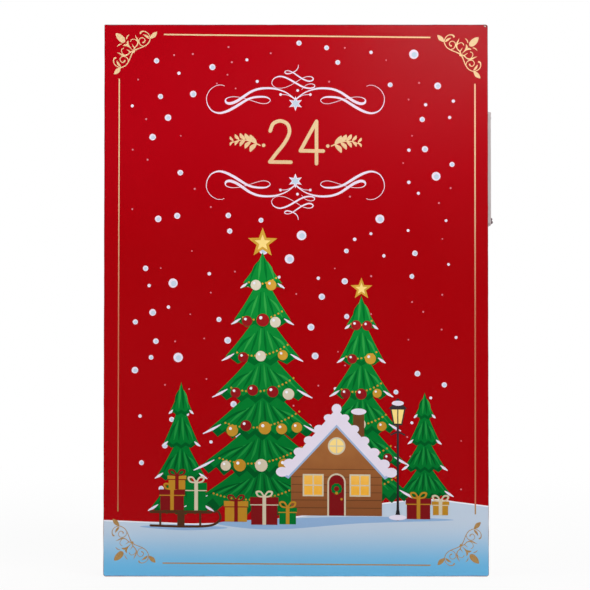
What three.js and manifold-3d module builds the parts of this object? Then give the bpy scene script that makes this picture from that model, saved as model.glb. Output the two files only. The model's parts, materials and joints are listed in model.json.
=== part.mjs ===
// A book-shaped wooden advent calendar that lights up.
//
// A printed front cover swings on two brass hinges, like a book's. Behind it a flat wooden case holds
// twenty-four numbered drawers, and above them a little village that a string of lamps lights from behind.
// Two cells and a slide switch sit in a moulded tray that is let into the case's right side.
//
// Lengths are in millimetres. +Z is up, and the cover faces -Y. The origin is on the case's underside,
// below the middle of the cover and half way through the depth of the case's boards.

import * as THREE from "three";
import { mergeVertices } from "three/addons/utils/BufferGeometryUtils.js";
import Module from "manifold-3d";

const wasm = await Module();
wasm.setup();

// Corners nearer than this are one, and a cutter passes what it cuts by this much.
const mergeDistance = 0.0003;
const cutOverrun = 1;

// Sizes of the cover
const coverWidth = 280;
const coverHeight = 402;
const coverThickness = 5.6;
const coverTopRadius = 0.8;
const coverBottomRadius = 2;
const coverFootGap = 0.5;
const coverGap = 1.2;
const coverFreeOverhang = 0.5;
const printThickness = 0.3;
const printFilm = 0.1;

// Sizes of the case
const caseDepth = 51;
const boardThickness = 6;
const backThickness = 3;
const glueLine = 0.2;

// Sizes of a hinge
const hingeHeight = 30;
const hingeInset = 62;
const hingeBarrelRadius = 2;
const hingeOverhang = 2.2;
const hingePinRadius = 0.8;
const hingePinClearance = 0.15;
const hingeKnuckleGap = 0.3;
const hingeLeafThickness = 0.6;
const hingeLeafWidth = 14;
const hingeLeafSeat = 0.1;
const hingeScrewHoleRadius = 1.3;
const hingeScrewInset = 6;
const hingeScrewOffset = 9;

// Sizes of the magnetic catch
const magnetRadius = 2;
const magnetLength = 3;
const magnetSeat = 0.2;

// Sizes of the drawers and of the crossed boards that carry them
const drawerColumns = 6;
const drawerRows = 4;
const rackThickness = 2.5;
const rackLapClearance = 0.2;
const cellHeight = 41;
const drawerFrontThickness = 3;
const drawerWallThickness = 2;
const drawerFloorThickness = 2;
const drawerWallDrop = 9.1;
const drawerSideGap = 0.4;
const drawerBaseGap = 0.3;
const drawerTopGap = 0.6;
const drawerBackGap = 0.6;
const knobLength = 7.5;
const knobRadius = 3.5;
const knobNeckRadius = 1.6;
const knobRoot = 1;
const knobCoverClearance = 1.5;

// Sizes of the lit scene's flat layers
const layerThickness = 3;
const frameRecess = 1;
const layerSpacing = 5;
const backdropSpacing = 12;
const frameSideMargin = 20;
const frameBottomMargin = 10;
const frameTopMargin = 14;
const frameArchRise = 34;
const layerTrayClearance = 2;
const groundHeight = 20;

// Sizes of the string of lamps
const lampRadius = 2.5;
const lampLength = 8;
const lampRimLip = 0.4;
const lampRimThickness = 1;
const lampHoleClearance = 0.2;
const wireRadius = 0.7;
const leadClearance = 0.3;

// Sizes of the cells and of the tray that holds them
const cellRadius = 7.25;
const cellLength = 50.5;
const cellNubRadius = 2.75;
const cellNubLength = 1.2;
const cellClearance = 0.3;
const contactRoom = 5.5;
const contactThickness = 0.4;
const contactConeRadius = 4;
const contactConeTipRadius = 2;
const trayWallThickness = 1.5;
const trayRimWidth = 4.05;
const trayFootLength = 22.6;
const trayFlangeThickness = 3.7;
const trayCornerRadius = 3;
const trayTopDrop = 61.7;
const trayRimHeight = 0.5;
const trayRimLength = 1.9;
const trayFlangeLap = 1.2;
const trayBayInset = 4.6;
const trayCutoutClearance = 0.3;
const doorThickness = 1.8;
const doorLip = 1.2;
const doorClearance = 0.25;
const doorGripLength = 1.7;
const doorSeatGap = 0.15;

// Sizes of the slide switch
const switchCapHeight = 4.4;
const switchCapWidth = 5;
const switchCapProud = 2.9;
const switchCapLift = 0.15;
const switchRidgeDepth = 0.5;
const switchStemHeight = 1.6;
const switchStemWidth = 2.4;
const switchStemReach = 1;
const switchTravel = 2.5;
const switchClearance = 0.25;
const switchBodyHeight = 5.8;
const switchBodyWidth = 6;
const switchBodyDepth = 4;
const switchEndInset = 2;

// Places that follow from the sizes
const caseHeight = coverHeight;
const caseFront = -caseDepth / 2;
const caseBack = caseDepth / 2;
const coverBackFace = caseFront - coverGap;
const hingeAxisX = -coverWidth / 2 + hingeOverhang;
const hingeAxisY = coverBackFace + hingeLeafSeat + hingeBarrelRadius;
const caseLeft = hingeAxisX + hingeBarrelRadius + hingeLeafSeat;
const caseRight = coverWidth / 2 - coverFreeOverhang;
const innerLeft = caseLeft + boardThickness;
const innerRight = caseRight - boardThickness;
const innerWidth = innerRight - innerLeft;
const innerMiddle = (innerLeft + innerRight) / 2;
const rackFront = coverBackFace + knobCoverClearance + knobLength;
const rackHeight = drawerRows * cellHeight + (drawerRows - 1) * rackThickness;
const rackBase = boardThickness;
const rackTop = rackBase + rackHeight;
const cellWidth = (innerWidth - (drawerColumns - 1) * rackThickness) / drawerColumns;
const shelfTop = rackTop + boardThickness;
const sceneHeight = caseHeight - boardThickness - shelfTop;

// The tray's places, outward from the case's right side and up from the tray's own middle
const bayWidth = 4 * cellRadius + 3 * cellClearance;
const bayLength = cellLength + contactRoom + 2 * cellClearance;
const trayWidth = bayWidth + 2 * trayRimWidth;
const trayLength = trayBayInset + bayLength + trayFootLength;
const bayTop = trayLength / 2 - trayBayInset;
const bayBottom = bayTop - bayLength;
const doorSeat = glueLine + trayFlangeThickness - doorThickness - doorSeatGap;
const bayFloor = doorSeat - 2 * cellRadius - 2 * cellClearance;
const trayFloor = bayFloor - trayWallThickness;
const trayOuter = glueLine + trayFlangeThickness;
const trayReach = -trayFloor - boardThickness;
const trayMiddleHeight = caseHeight - trayTopDrop - trayLength / 2;

// The scene's depths, from the front to the back
const frameBackFace = caseFront + frameRecess + layerThickness;
const forestBackFace = frameBackFace + layerSpacing + layerThickness;
const villageBackFace = forestBackFace + layerSpacing + layerThickness;
const backdropBackFace = villageBackFace + backdropSpacing + layerThickness;
const layerWidth = innerWidth - 2 * (trayReach + layerTrayClearance);

// Colours and finishes
const finish = (color, roughness, metalness = 0) =>
  new THREE.MeshStandardMaterial({ color, roughness, metalness });
const redPaint = finish("#a5101c", 0.45);
const printedPaper = finish("#b00410", 0.35);
const bareBoard = finish("#b98f5e", 0.75);
const plywood = finish("#d8b98a", 0.7);
const drawerPaint = finish("#c9352f", 0.5);
const skyPaint = finish("#1f3562", 0.6);
const villagePaint = finish("#e9dfca", 0.6);
const forestPaint = finish("#1f6b3a", 0.6);
const framePaint = finish("#a5101c", 0.5);
const brass = finish("#b9913f", 0.35, 1);
const steel = finish("#a9abad", 0.3, 1);
const palePlastic = finish("#d9d9d6", 0.45);
const darkPlastic = finish("#3a2f33", 0.5);
const lampPlastic = finish("#fff1cf", 0.25);
const cellSkin = finish("#3b3f45", 0.35);

// A closed geometry as a solid that can be joined and cut.
function solidOf(geometry) {
  const bare = new THREE.BufferGeometry();
  bare.setAttribute("position", geometry.getAttribute("position").clone());
  bare.setIndex(geometry.index ? geometry.index.clone() : null);
  const merged = mergeVertices(bare, mergeDistance);
  const corners = Array.from(merged.index.array);
  const triangles = [];
  for (let first = 0; first < corners.length; first += 3) {
    const triangle = corners.slice(first, first + 3);
    if (new Set(triangle).size === 3) triangles.push(...triangle);
  }
  const mesh = new wasm.Mesh({
    numProp: 3,
    vertProperties: merged.attributes.position.array,
    triVerts: new Uint32Array(triangles),
  });
  return new wasm.Manifold(mesh);
}

// A solid as a geometry.
function geometryOf(solid) {
  const { vertProperties, triVerts, numProp } = solid.getMesh();
  const count = vertProperties.length / numProp;
  const positions = new Float32Array(count * 3);
  for (let vertex = 0; vertex < count; vertex += 1) {
    positions.set(vertProperties.subarray(vertex * numProp, vertex * numProp + 3), vertex * 3);
  }
  const geometry = new THREE.BufferGeometry();
  geometry.setAttribute("position", new THREE.BufferAttribute(positions, 3));
  geometry.setIndex(new THREE.BufferAttribute(triVerts, 1));
  geometry.computeVertexNormals();
  return geometry;
}

// The first geometry with the others cut out of it.
function cut(geometry, ...cutters) {
  const left = cutters.reduce((solid, cutter) => solid.subtract(solidOf(cutter)), solidOf(geometry));
  return geometryOf(left);
}

// Several geometries that meet, as one.
function join(...geometries) {
  return geometryOf(geometries.map(solidOf).reduce((one, other) => one.add(other)));
}

// A box between its lowest and its highest corner.
function box(low, high) {
  const size = high.map((value, axis) => value - low[axis]);
  const middle = high.map((value, axis) => (value + low[axis]) / 2);
  return new THREE.BoxGeometry(...size).translate(...middle);
}

// A round bar of a given radius between two values of one axis, through a point on the other two.
function rod(axis, radius, from, to, [first, second], sides) {
  const bar = new THREE.CylinderGeometry(radius, radius, to - from, sides);
  const middle = (from + to) / 2;
  if (axis === "x") return bar.rotateZ(Math.PI / 2).translate(middle, first, second);
  if (axis === "y") return bar.translate(first, middle, second);
  return bar.rotateX(Math.PI / 2).translate(first, second, middle);
}

// A flat outline in X and Z, as a plate whose back face is at a given Y.
function uprightPlate(shape, thickness, backFace, arcSteps) {
  const plate = new THREE.ExtrudeGeometry(shape, {
    depth: thickness,
    bevelEnabled: false,
    curveSegments: arcSteps,
  });
  return plate.rotateX(Math.PI / 2).translate(0, backFace, 0);
}

// A flat outline in Y and Z, as a plate that starts at a given X.
function sidePlate(shape, thickness, start, arcSteps) {
  const plate = new THREE.ExtrudeGeometry(shape, {
    depth: thickness,
    bevelEnabled: false,
    curveSegments: arcSteps,
  });
  const turn = new THREE.Matrix4().makeBasis(
    new THREE.Vector3(0, 1, 0),
    new THREE.Vector3(0, 0, 1),
    new THREE.Vector3(1, 0, 0),
  );
  return plate.applyMatrix4(turn).translate(start, 0, 0);
}

// A rectangle about the origin whose lower and upper corners are rounded.
function roundedRectangle(width, height, lowerRadius, upperRadius) {
  const [x, y] = [width / 2, height / 2];
  const shape = new THREE.Shape();
  shape.moveTo(-x + lowerRadius, -y);
  shape.lineTo(x - lowerRadius, -y);
  shape.absarc(x - lowerRadius, -y + lowerRadius, lowerRadius, -Math.PI / 2, 0, false);
  shape.lineTo(x, y - upperRadius);
  shape.absarc(x - upperRadius, y - upperRadius, upperRadius, 0, Math.PI / 2, false);
  shape.lineTo(-x + upperRadius, y);
  shape.absarc(-x + upperRadius, y - upperRadius, upperRadius, Math.PI / 2, Math.PI, false);
  shape.lineTo(-x, -y + lowerRadius);
  shape.absarc(-x + lowerRadius, -y + lowerRadius, lowerRadius, Math.PI, 1.5 * Math.PI, false);
  return shape;
}

// A rectangle between two corners of an outline's plane.
function rectangle(left, bottom, right, top) {
  return new THREE.Shape([
    new THREE.Vector2(left, bottom),
    new THREE.Vector2(right, bottom),
    new THREE.Vector2(right, top),
    new THREE.Vector2(left, top),
  ]);
}

function piece(name, geometry, material, position = [0, 0, 0]) {
  const mesh = new THREE.Mesh(geometry, material);
  mesh.name = name;
  mesh.position.set(...position);
  return mesh;
}

// A plain board between its lowest and its highest corner.
function board(name, material, low, high) {
  const size = high.map((value, axis) => value - low[axis]);
  const middle = high.map((value, axis) => (value + low[axis]) / 2);
  return piece(name, new THREE.BoxGeometry(...size), material, middle);
}

// The case: two sides between a top and a bottom board, with a back nailed over them.
function makeCase() {
  const group = new THREE.Group();
  const [sideFoot, sideTop] = [boardThickness + glueLine, caseHeight - boardThickness - glueLine];
  group.add(
    board("case_bottom", redPaint, [caseLeft, caseFront, 0], [caseRight, caseBack, boardThickness]),
    board(
      "case_top",
      redPaint,
      [caseLeft, caseFront, caseHeight - boardThickness],
      [caseRight, caseBack, caseHeight],
    ),
    board("case_left_side", redPaint, [caseLeft, caseFront, sideFoot], [innerLeft, caseBack, sideTop]),
    board(
      "back_panel",
      bareBoard,
      [caseLeft, caseBack + glueLine, 0],
      [caseRight, caseBack + glueLine + backThickness, caseHeight],
    ),
    board(
      "middle_shelf",
      plywood,
      [innerLeft + glueLine, caseFront, rackTop],
      [innerRight - glueLine, caseBack, shelfTop],
    ),
  );

  // The right side has a window for the battery tray and a blind hole for the catch's magnet.
  const side = box([innerRight, caseFront, sideFoot], [caseRight, caseBack, sideTop]);
  const windowFoot = trayMiddleHeight - trayLength / 2 + trayFlangeLap;
  const windowTop = trayMiddleHeight + bayTop + trayWallThickness + trayCutoutClearance;
  const windowHalf = bayWidth / 2 + trayWallThickness + trayCutoutClearance;
  const trayWindow = box(
    [innerRight - cutOverrun, -windowHalf, windowFoot],
    [caseRight + cutOverrun, windowHalf, windowTop],
  );
  const magnetHole = rod(
    "y",
    magnetRadius + magnetSeat,
    caseFront - cutOverrun,
    caseFront + magnetLength + 2 * magnetSeat,
    [caseRight - boardThickness / 2, caseHeight / 2],
    16,
  );
  group.add(piece("case_right_side", cut(side, trayWindow, magnetHole), redPaint));
  return group;
}

// The rack: shelves slotted from the back and dividers slotted from the front, halved into each other.
function makeRack() {
  const group = new THREE.Group();
  const depthMiddle = (rackFront + caseBack) / 2;
  const slot = rackThickness / 2 + rackLapClearance;
  const dividerPlaces = [];
  for (let column = 1; column < drawerColumns; column += 1) {
    dividerPlaces.push(innerLeft + column * cellWidth + (column - 0.5) * rackThickness);
  }
  const shelfPlaces = [];
  for (let row = 1; row < drawerRows; row += 1) {
    shelfPlaces.push(rackBase + row * cellHeight + (row - 0.5) * rackThickness);
  }

  shelfPlaces.forEach((height, index) => {
    const shelf = box(
      [innerLeft + glueLine, rackFront, height - rackThickness / 2],
      [innerRight - glueLine, caseBack, height + rackThickness / 2],
    );
    const slots = dividerPlaces.map((x) =>
      box(
        [x - slot, depthMiddle - rackLapClearance / 2, height - rackThickness],
        [x + slot, caseBack + cutOverrun, height + rackThickness],
      ),
    );
    group.add(piece(`rack_shelf_${index + 1}`, cut(shelf, ...slots), plywood));
  });

  dividerPlaces.forEach((x, index) => {
    const divider = box(
      [x - rackThickness / 2, rackFront, rackBase + glueLine],
      [x + rackThickness / 2, caseBack, rackTop - glueLine],
    );
    const slots = shelfPlaces.map((height) =>
      box(
        [x - rackThickness, rackFront - cutOverrun, height - slot],
        [x + rackThickness, depthMiddle + rackLapClearance / 2, height + slot],
      ),
    );
    group.add(piece(`rack_divider_${index + 1}`, cut(divider, ...slots), plywood));
  });
  return group;
}

// A turned knob about the Y axis, its root let into what lies behind Y = 0.
function knobGeometry() {
  const middle = -knobLength + knobRadius;
  const neckAngle = Math.acos(knobNeckRadius / knobRadius);
  const headSteps = 5;
  const profile = [new THREE.Vector2(0, -knobLength)];
  for (let step = 1; step <= headSteps; step += 1) {
    const angle = -Math.PI / 2 + (step / headSteps) * (Math.PI / 2 + neckAngle);
    profile.push(
      new THREE.Vector2(knobRadius * Math.cos(angle), middle + knobRadius * Math.sin(angle)),
    );
  }
  profile.push(new THREE.Vector2(knobNeckRadius, knobRoot), new THREE.Vector2(0, knobRoot));
  return new THREE.LatheGeometry(profile, 10);
}

// One drawer about the middle of its front's lower edge: an open tray, a taller front and its knob.
function drawerGeometry() {
  const half = cellWidth / 2 - drawerSideGap;
  const depth = caseBack - rackFront - drawerBackGap;
  const frontHeight = cellHeight - drawerBaseGap - drawerTopGap;
  const wallHeight = frontHeight - drawerWallDrop;
  const tray = box([-half, 0, 0], [half, depth, wallHeight]);
  const front = box([-half, 0, 0], [half, drawerFrontThickness, frontHeight]);
  const hollow = box(
    [-half + drawerWallThickness, drawerFrontThickness, drawerFloorThickness],
    [half - drawerWallThickness, depth - drawerWallThickness, wallHeight + cutOverrun],
  );
  const knob = knobGeometry().translate(0, 0, frontHeight / 2);
  return join(cut(tray, hollow), front, knob);
}

// The drawers, numbered along each row from the top left.
function makeDrawers() {
  const group = new THREE.Group();
  const geometry = drawerGeometry();
  for (let row = 0; row < drawerRows; row += 1) {
    for (let column = 0; column < drawerColumns; column += 1) {
      const number = String(row * drawerColumns + column + 1).padStart(2, "0");
      const rowsBelow = drawerRows - 1 - row;
      group.add(
        piece(`drawer_${number}`, geometry, drawerPaint, [
          innerLeft + column * (cellWidth + rackThickness) + cellWidth / 2,
          rackFront,
          rackBase + rowsBelow * (cellHeight + rackThickness) + drawerBaseGap,
        ]),
      );
    }
  }
  return group;
}

// The frame round the lit scene, with an arched opening.
function frameGeometry() {
  const half = innerWidth / 2 - glueLine;
  const outline = rectangle(-half, glueLine, half, sceneHeight - glueLine);
  const openHalf = innerWidth / 2 - frameSideMargin;
  const springing = sceneHeight - frameTopMargin - frameArchRise;
  const archRadius = (openHalf ** 2 + frameArchRise ** 2) / (2 * frameArchRise);
  const archMiddle = springing + frameArchRise - archRadius;
  const archAngle = Math.asin(openHalf / archRadius);
  const opening = new THREE.Path();
  opening.moveTo(-openHalf, frameBottomMargin);
  opening.lineTo(openHalf, frameBottomMargin);
  opening.lineTo(openHalf, springing);
  opening.absarc(0, archMiddle, archRadius, Math.PI / 2 - archAngle, Math.PI / 2 + archAngle, false);
  outline.holes.push(opening);
  return uprightPlate(outline, layerThickness, frameBackFace, 18);
}

// A bank of snow as wide as a layer, whose top rises and falls through shares of its height.
function bankShape(heightShares) {
  const shape = new THREE.Shape();
  const crest = heightShares.map(
    (share, index) =>
      new THREE.Vector2(
        layerWidth / 2 - (index / (heightShares.length - 1)) * layerWidth,
        share * groundHeight,
      ),
  );
  shape.moveTo(-layerWidth / 2, glueLine);
  shape.lineTo(layerWidth / 2, glueLine);
  shape.lineTo(crest[0].x, crest[0].y);
  shape.splineThru(crest.slice(1));
  return shape;
}

// A fir that rises out of the snow, in tiers that widen towards the foot.
const firTierShares = [
  { outer: 1, inner: 0.42, height: 0 },
  { outer: 0.78, inner: 0.3, height: 0.42 },
  { outer: 0.52, inner: 0.2, height: 0.66 },
];
function firShape(middle, width, height) {
  const right = firTierShares.flatMap((tier, index) => [
    ...(index > 0 ? [[firTierShares[index - 1].inner, tier.height]] : []),
    [tier.outer, tier.height],
  ]);
  const left = right.map(([across, up]) => [-across, up]).reverse();
  const points = [...right, [0, 1], ...left].map(
    ([across, up]) =>
      new THREE.Vector2(middle + (across * width) / 2, glueLine + up * (height - glueLine)),
  );
  return new THREE.Shape(points);
}

// The front layer: firs on a bank of snow.
const forestBankShares = [0.8, 0.55, 0.42, 0.6, 0.5, 0.35, 0.45, 0.7, 0.95];
const firShares = [
  { middle: 0.065, width: 0.12, height: 0.6 },
  { middle: 0.175, width: 0.09, height: 0.42 },
  { middle: 0.27, width: 0.065, height: 0.27 },
  { middle: 0.755, width: 0.07, height: 0.3 },
  { middle: 0.85, width: 0.09, height: 0.45 },
  { middle: 0.945, width: 0.09, height: 0.62 },
];
function forestGeometry() {
  const bank = uprightPlate(bankShape(forestBankShares), layerThickness, forestBackFace, 4);
  const firs = firShares.map(({ middle, width, height }) => {
    const shape = firShape((middle - 0.5) * layerWidth, width * layerWidth, height * sceneHeight);
    return uprightPlate(shape, layerThickness, forestBackFace, 1);
  });
  return join(bank, ...firs);
}

// A house with a gable and a chimney, and rows of windows cut right through it.
const windowShares = { width: 0.2, height: 0.24, sill: 0.36 };
const chimneyShares = { left: 0.66, width: 0.13, top: 0.85 };
function houseGeometry({ left, width, wall, roof, windows }) {
  const houseLeft = (left - 0.5) * layerWidth;
  const houseWidth = width * layerWidth;
  const wallTop = wall * sceneHeight;
  const roofTop = (wall + roof) * sceneHeight;
  const front = new THREE.Shape([
    new THREE.Vector2(houseLeft, glueLine),
    new THREE.Vector2(houseLeft + houseWidth, glueLine),
    new THREE.Vector2(houseLeft + houseWidth, wallTop),
    new THREE.Vector2(houseLeft + houseWidth / 2, roofTop),
    new THREE.Vector2(houseLeft, wallTop),
  ]);
  const chimneyLeft = houseLeft + chimneyShares.left * houseWidth;
  const chimney = rectangle(
    chimneyLeft,
    wallTop,
    chimneyLeft + chimneyShares.width * houseWidth,
    wallTop + chimneyShares.top * (roofTop - wallTop),
  );
  const windowHalf = (windowShares.width * houseWidth) / 2;
  const sill = groundHeight + windowShares.sill * (wallTop - groundHeight);
  const openings = [];
  for (let index = 0; index < windows; index += 1) {
    const middle = houseLeft + ((index + 0.5) / windows) * houseWidth;
    openings.push(
      box(
        [middle - windowHalf, villageBackFace - layerThickness - cutOverrun, sill],
        [middle + windowHalf, villageBackFace + cutOverrun, sill + windowShares.height * wallTop],
      ),
    );
  }
  const plates = [front, chimney].map((shape) => uprightPlate(shape, layerThickness, villageBackFace, 1));
  return cut(join(...plates), ...openings);
}

// The second layer: a row of houses on a bank of snow.
const villageBankShares = [0.9, 1.1, 0.95, 1.05, 0.9, 1.1, 1, 0.9, 1.05];
const houseShares = [
  { left: 0.12, width: 0.17, wall: 0.32, roof: 0.17, windows: 2 },
  { left: 0.31, width: 0.13, wall: 0.42, roof: 0.24, windows: 2 },
  { left: 0.455, width: 0.18, wall: 0.3, roof: 0.15, windows: 3 },
  { left: 0.65, width: 0.15, wall: 0.37, roof: 0.18, windows: 2 },
];
function villageGeometry() {
  const bank = uprightPlate(bankShape(villageBankShares), layerThickness, villageBackFace, 4);
  return join(bank, ...houseShares.map(houseGeometry));
}

// Where the lamps are, as shares of the layers' width and of the scene's height, in the wire's order.
const lampShares = [
  [0.78, 0.3],
  [0.62, 0.24],
  [0.44, 0.3],
  [0.26, 0.24],
  [0.14, 0.55],
  [0.33, 0.74],
  [0.56, 0.6],
  [0.8, 0.72],
];
const lampPlaces = lampShares.map(([across, up]) => [(across - 0.5) * layerWidth, up * sceneHeight]);

// The night sky behind the houses: holes for the lamps, and a notch that clears the battery tray.
function backdropGeometry() {
  const half = innerWidth / 2 - glueLine;
  const outline = rectangle(-half, glueLine, half, sceneHeight - glueLine);
  const plate = uprightPlate(outline, layerThickness, backdropBackFace, 1);
  const cutters = lampPlaces.map((place) =>
    rod(
      "y",
      lampRadius + lampHoleClearance,
      backdropBackFace - layerThickness - cutOverrun,
      backdropBackFace + cutOverrun,
      place,
      12,
    ),
  );
  const trayLow = trayMiddleHeight - trayLength / 2 - shelfTop;
  const notch = box(
    [
      innerWidth / 2 - trayReach - layerTrayClearance,
      backdropBackFace - layerThickness - cutOverrun,
      trayLow,
    ],
    [half + cutOverrun, backdropBackFace + cutOverrun, trayLow + trayLength],
  );
  return cut(plate, ...cutters, notch);
}

// A lamp about the Y axis: its dome points to -Y, and its rim is behind Y = 0.
function lampGeometry() {
  const domeSteps = 3;
  const rimRadius = lampRadius + lampHoleClearance + lampRimLip;
  const profile = [];
  for (let step = 0; step <= domeSteps; step += 1) {
    const angle = (step / domeSteps) * (Math.PI / 2);
    profile.push(
      new THREE.Vector2(
        lampRadius * Math.sin(angle),
        -lampLength + lampRadius * (1 - Math.cos(angle)),
      ),
    );
  }
  profile.push(
    new THREE.Vector2(lampRadius, lampHoleClearance),
    new THREE.Vector2(rimRadius, lampHoleClearance),
    new THREE.Vector2(rimRadius, lampHoleClearance + lampRimThickness),
    new THREE.Vector2(0, lampHoleClearance + lampRimThickness),
  );
  return new THREE.LatheGeometry(profile, 12);
}

// The lamps on their lead, which starts at the battery tray and runs behind the sky.
function lampStringGeometry() {
  const wireDepth = backdropBackFace + lampHoleClearance + lampRimThickness + wireRadius / 2;
  const start = new THREE.Vector3(
    innerWidth / 2 - trayReach - leadClearance,
    wireDepth,
    trayMiddleHeight + bayBottom + trayWallThickness - shelfTop,
  );
  const route = [start, ...lampPlaces.map(([x, z]) => new THREE.Vector3(x, wireDepth, z))];
  const section = new THREE.Shape().absarc(0, 0, wireRadius, 0, 2 * Math.PI, false);
  const lead = new THREE.ExtrudeGeometry(section, {
    steps: 56,
    curveSegments: 4,
    bevelEnabled: false,
    extrudePath: new THREE.CatmullRomCurve3(route, false, "centripetal"),
  });
  const lamps = lampPlaces.map(([x, z]) => lampGeometry().translate(x, backdropBackFace, z));
  return join(lead, ...lamps);
}

// The lit scene above the drawers.
function makeScene() {
  const group = new THREE.Group();
  group.position.set(innerMiddle, 0, shelfTop);
  group.add(
    piece("scene_frame", frameGeometry(), framePaint),
    piece("scene_forest", forestGeometry(), forestPaint),
    piece("scene_village", villageGeometry(), villagePaint),
    piece("scene_backdrop", backdropGeometry(), skyPaint),
    piece("led_string", lampStringGeometry(), lampPlastic),
  );
  return group;
}

// The moulded tray: a flange outside the case, a tub for the cells and a slot for the switch.
function trayGeometry(switchMiddle) {
  const flange = sidePlate(
    roundedRectangle(trayWidth, trayLength, trayCornerRadius, trayCornerRadius),
    trayFlangeThickness,
    glueLine,
    4,
  );
  const rim = box(
    [glueLine, -trayWidth / 2 + trayCornerRadius, trayLength / 2 - trayRimLength],
    [trayOuter + trayRimHeight, trayWidth / 2 - trayCornerRadius, trayLength / 2],
  );
  const tub = box(
    [trayFloor, -bayWidth / 2 - trayWallThickness, bayBottom - trayWallThickness],
    [trayOuter - trayFlangeThickness / 2, bayWidth / 2 + trayWallThickness, bayTop + trayWallThickness],
  );
  const bay = box(
    [bayFloor, -bayWidth / 2, bayBottom],
    [trayOuter + cutOverrun, bayWidth / 2, bayTop],
  );
  const doorRecess = box(
    [doorSeat, -bayWidth / 2 - doorLip, bayBottom - doorLip],
    [trayOuter + cutOverrun, bayWidth / 2 + doorLip, bayTop + doorLip],
  );
  const slotHalf = switchStemWidth / 2 + switchClearance;
  const slotFoot = switchMiddle - switchStemHeight / 2 - switchClearance;
  const slotTop = switchMiddle + switchStemHeight / 2 + switchTravel + switchClearance;
  const switchSlot = box(
    [-cutOverrun, -slotHalf, slotFoot],
    [trayOuter + cutOverrun, slotHalf, slotTop],
  );
  return cut(join(flange, rim, tub), bay, doorRecess, switchSlot);
}

// The battery door: a plate in the tray's recess, with a grip across its upper end.
function doorGeometry() {
  const half = bayWidth / 2 + doorLip - doorClearance;
  const [foot, top] = [bayBottom - doorLip + doorClearance, bayTop + doorLip - doorClearance];
  const seat = doorSeat + doorSeatGap;
  const plate = box([seat, -half, foot], [seat + doorThickness, half, top]);
  const grip = box(
    [seat, -half, top - doorGripLength],
    [seat + doorThickness + trayRimHeight, half, top],
  );
  return join(plate, grip);
}

// One cell about its own axis, with its nub upwards.
function cellGeometry() {
  const shoulder = cellLength - cellNubLength;
  const profile = [
    [0, 0],
    [cellRadius, 0],
    [cellRadius, shoulder],
    [cellNubRadius, shoulder],
    [cellNubRadius, cellLength],
    [0, cellLength],
  ].map(([radius, height]) => new THREE.Vector2(radius, height));
  return new THREE.LatheGeometry(profile, 20).rotateX(Math.PI / 2);
}

// The contact that bridges both cells: a plate with a sprung cone for each.
function contactGeometry(spread) {
  const rise = contactRoom - contactThickness - cellClearance;
  const plate = box(
    [bayFloor + cellClearance, -bayWidth / 2 + cellClearance, 0],
    [doorSeat - cellClearance, bayWidth / 2 - cellClearance, contactThickness],
  );
  const cones = [-spread, spread].map((side) =>
    new THREE.CylinderGeometry(
      contactConeTipRadius,
      contactConeRadius,
      rise + contactThickness / 2,
      12,
    )
      .rotateX(Math.PI / 2)
      .translate(
        bayFloor + cellClearance + cellRadius,
        side,
        contactThickness / 2 + (rise + contactThickness / 2) / 2,
      ),
  );
  return join(plate, ...cones);
}

// The slide switch's ridged cap and the stem below it, about the middle of its travel's lower end.
function switchKnobGeometry() {
  const capBase = trayOuter + switchCapLift;
  const capTop = trayOuter + switchCapProud;
  const cap = box(
    [capBase, -switchCapWidth / 2, -switchCapHeight / 2],
    [capTop, switchCapWidth / 2, switchCapHeight / 2],
  );
  const stem = box(
    [-switchStemReach, -switchStemWidth / 2, -switchStemHeight / 2],
    [capBase + switchCapLift, switchStemWidth / 2, switchStemHeight / 2],
  );
  const grooveHalf = switchCapHeight / 10;
  const groove = box(
    [capTop - switchRidgeDepth, -switchCapWidth, -grooveHalf],
    [capTop + cutOverrun, switchCapWidth, grooveHalf],
  );
  return cut(join(cap, stem), groove);
}

// The slide switch's body, with a pocket for the stem's whole travel.
function switchBodyGeometry() {
  const middle = switchTravel / 2;
  const top = glueLine - switchClearance;
  const body = box(
    [top - switchBodyDepth, -switchBodyWidth / 2, middle - switchBodyHeight / 2],
    [top, switchBodyWidth / 2, middle + switchBodyHeight / 2],
  );
  const pocket = box(
    [
      -switchStemReach - switchClearance,
      -switchStemWidth / 2 - switchClearance,
      -switchStemHeight / 2 - switchClearance,
    ],
    [
      top + cutOverrun,
      switchStemWidth / 2 + switchClearance,
      switchStemHeight / 2 + switchTravel + switchClearance,
    ],
  );
  return cut(body, pocket);
}

// The battery tray in the case's right side, with its door, cells, contact and switch.
function makePower() {
  const group = new THREE.Group();
  group.position.set(caseRight, 0, trayMiddleHeight);
  const switchMiddle = -trayLength / 2 + switchEndInset + switchCapHeight / 2;
  const cellAxis = bayFloor + cellClearance + cellRadius;
  const spread = cellRadius + cellClearance / 2;
  const cellFoot = bayTop - cellClearance - cellLength;
  const upright = piece("battery_cell_1", cellGeometry(), cellSkin, [cellAxis, -spread, cellFoot]);
  const inverted = piece("battery_cell_2", cellGeometry(), cellSkin, [
    cellAxis,
    spread,
    cellFoot + cellLength,
  ]);
  inverted.rotation.x = Math.PI;
  group.add(
    piece("battery_tray", trayGeometry(switchMiddle), palePlastic),
    piece("battery_door", doorGeometry(), palePlastic),
    upright,
    inverted,
    piece("battery_contact_bridge", contactGeometry(spread), steel, [0, 0, bayBottom + cellClearance]),
    piece("switch_knob", switchKnobGeometry(), darkPlastic, [0, 0, switchMiddle]),
    piece("switch_body", switchBodyGeometry(), darkPlastic, [0, 0, switchMiddle]),
  );
  return group;
}

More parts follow.
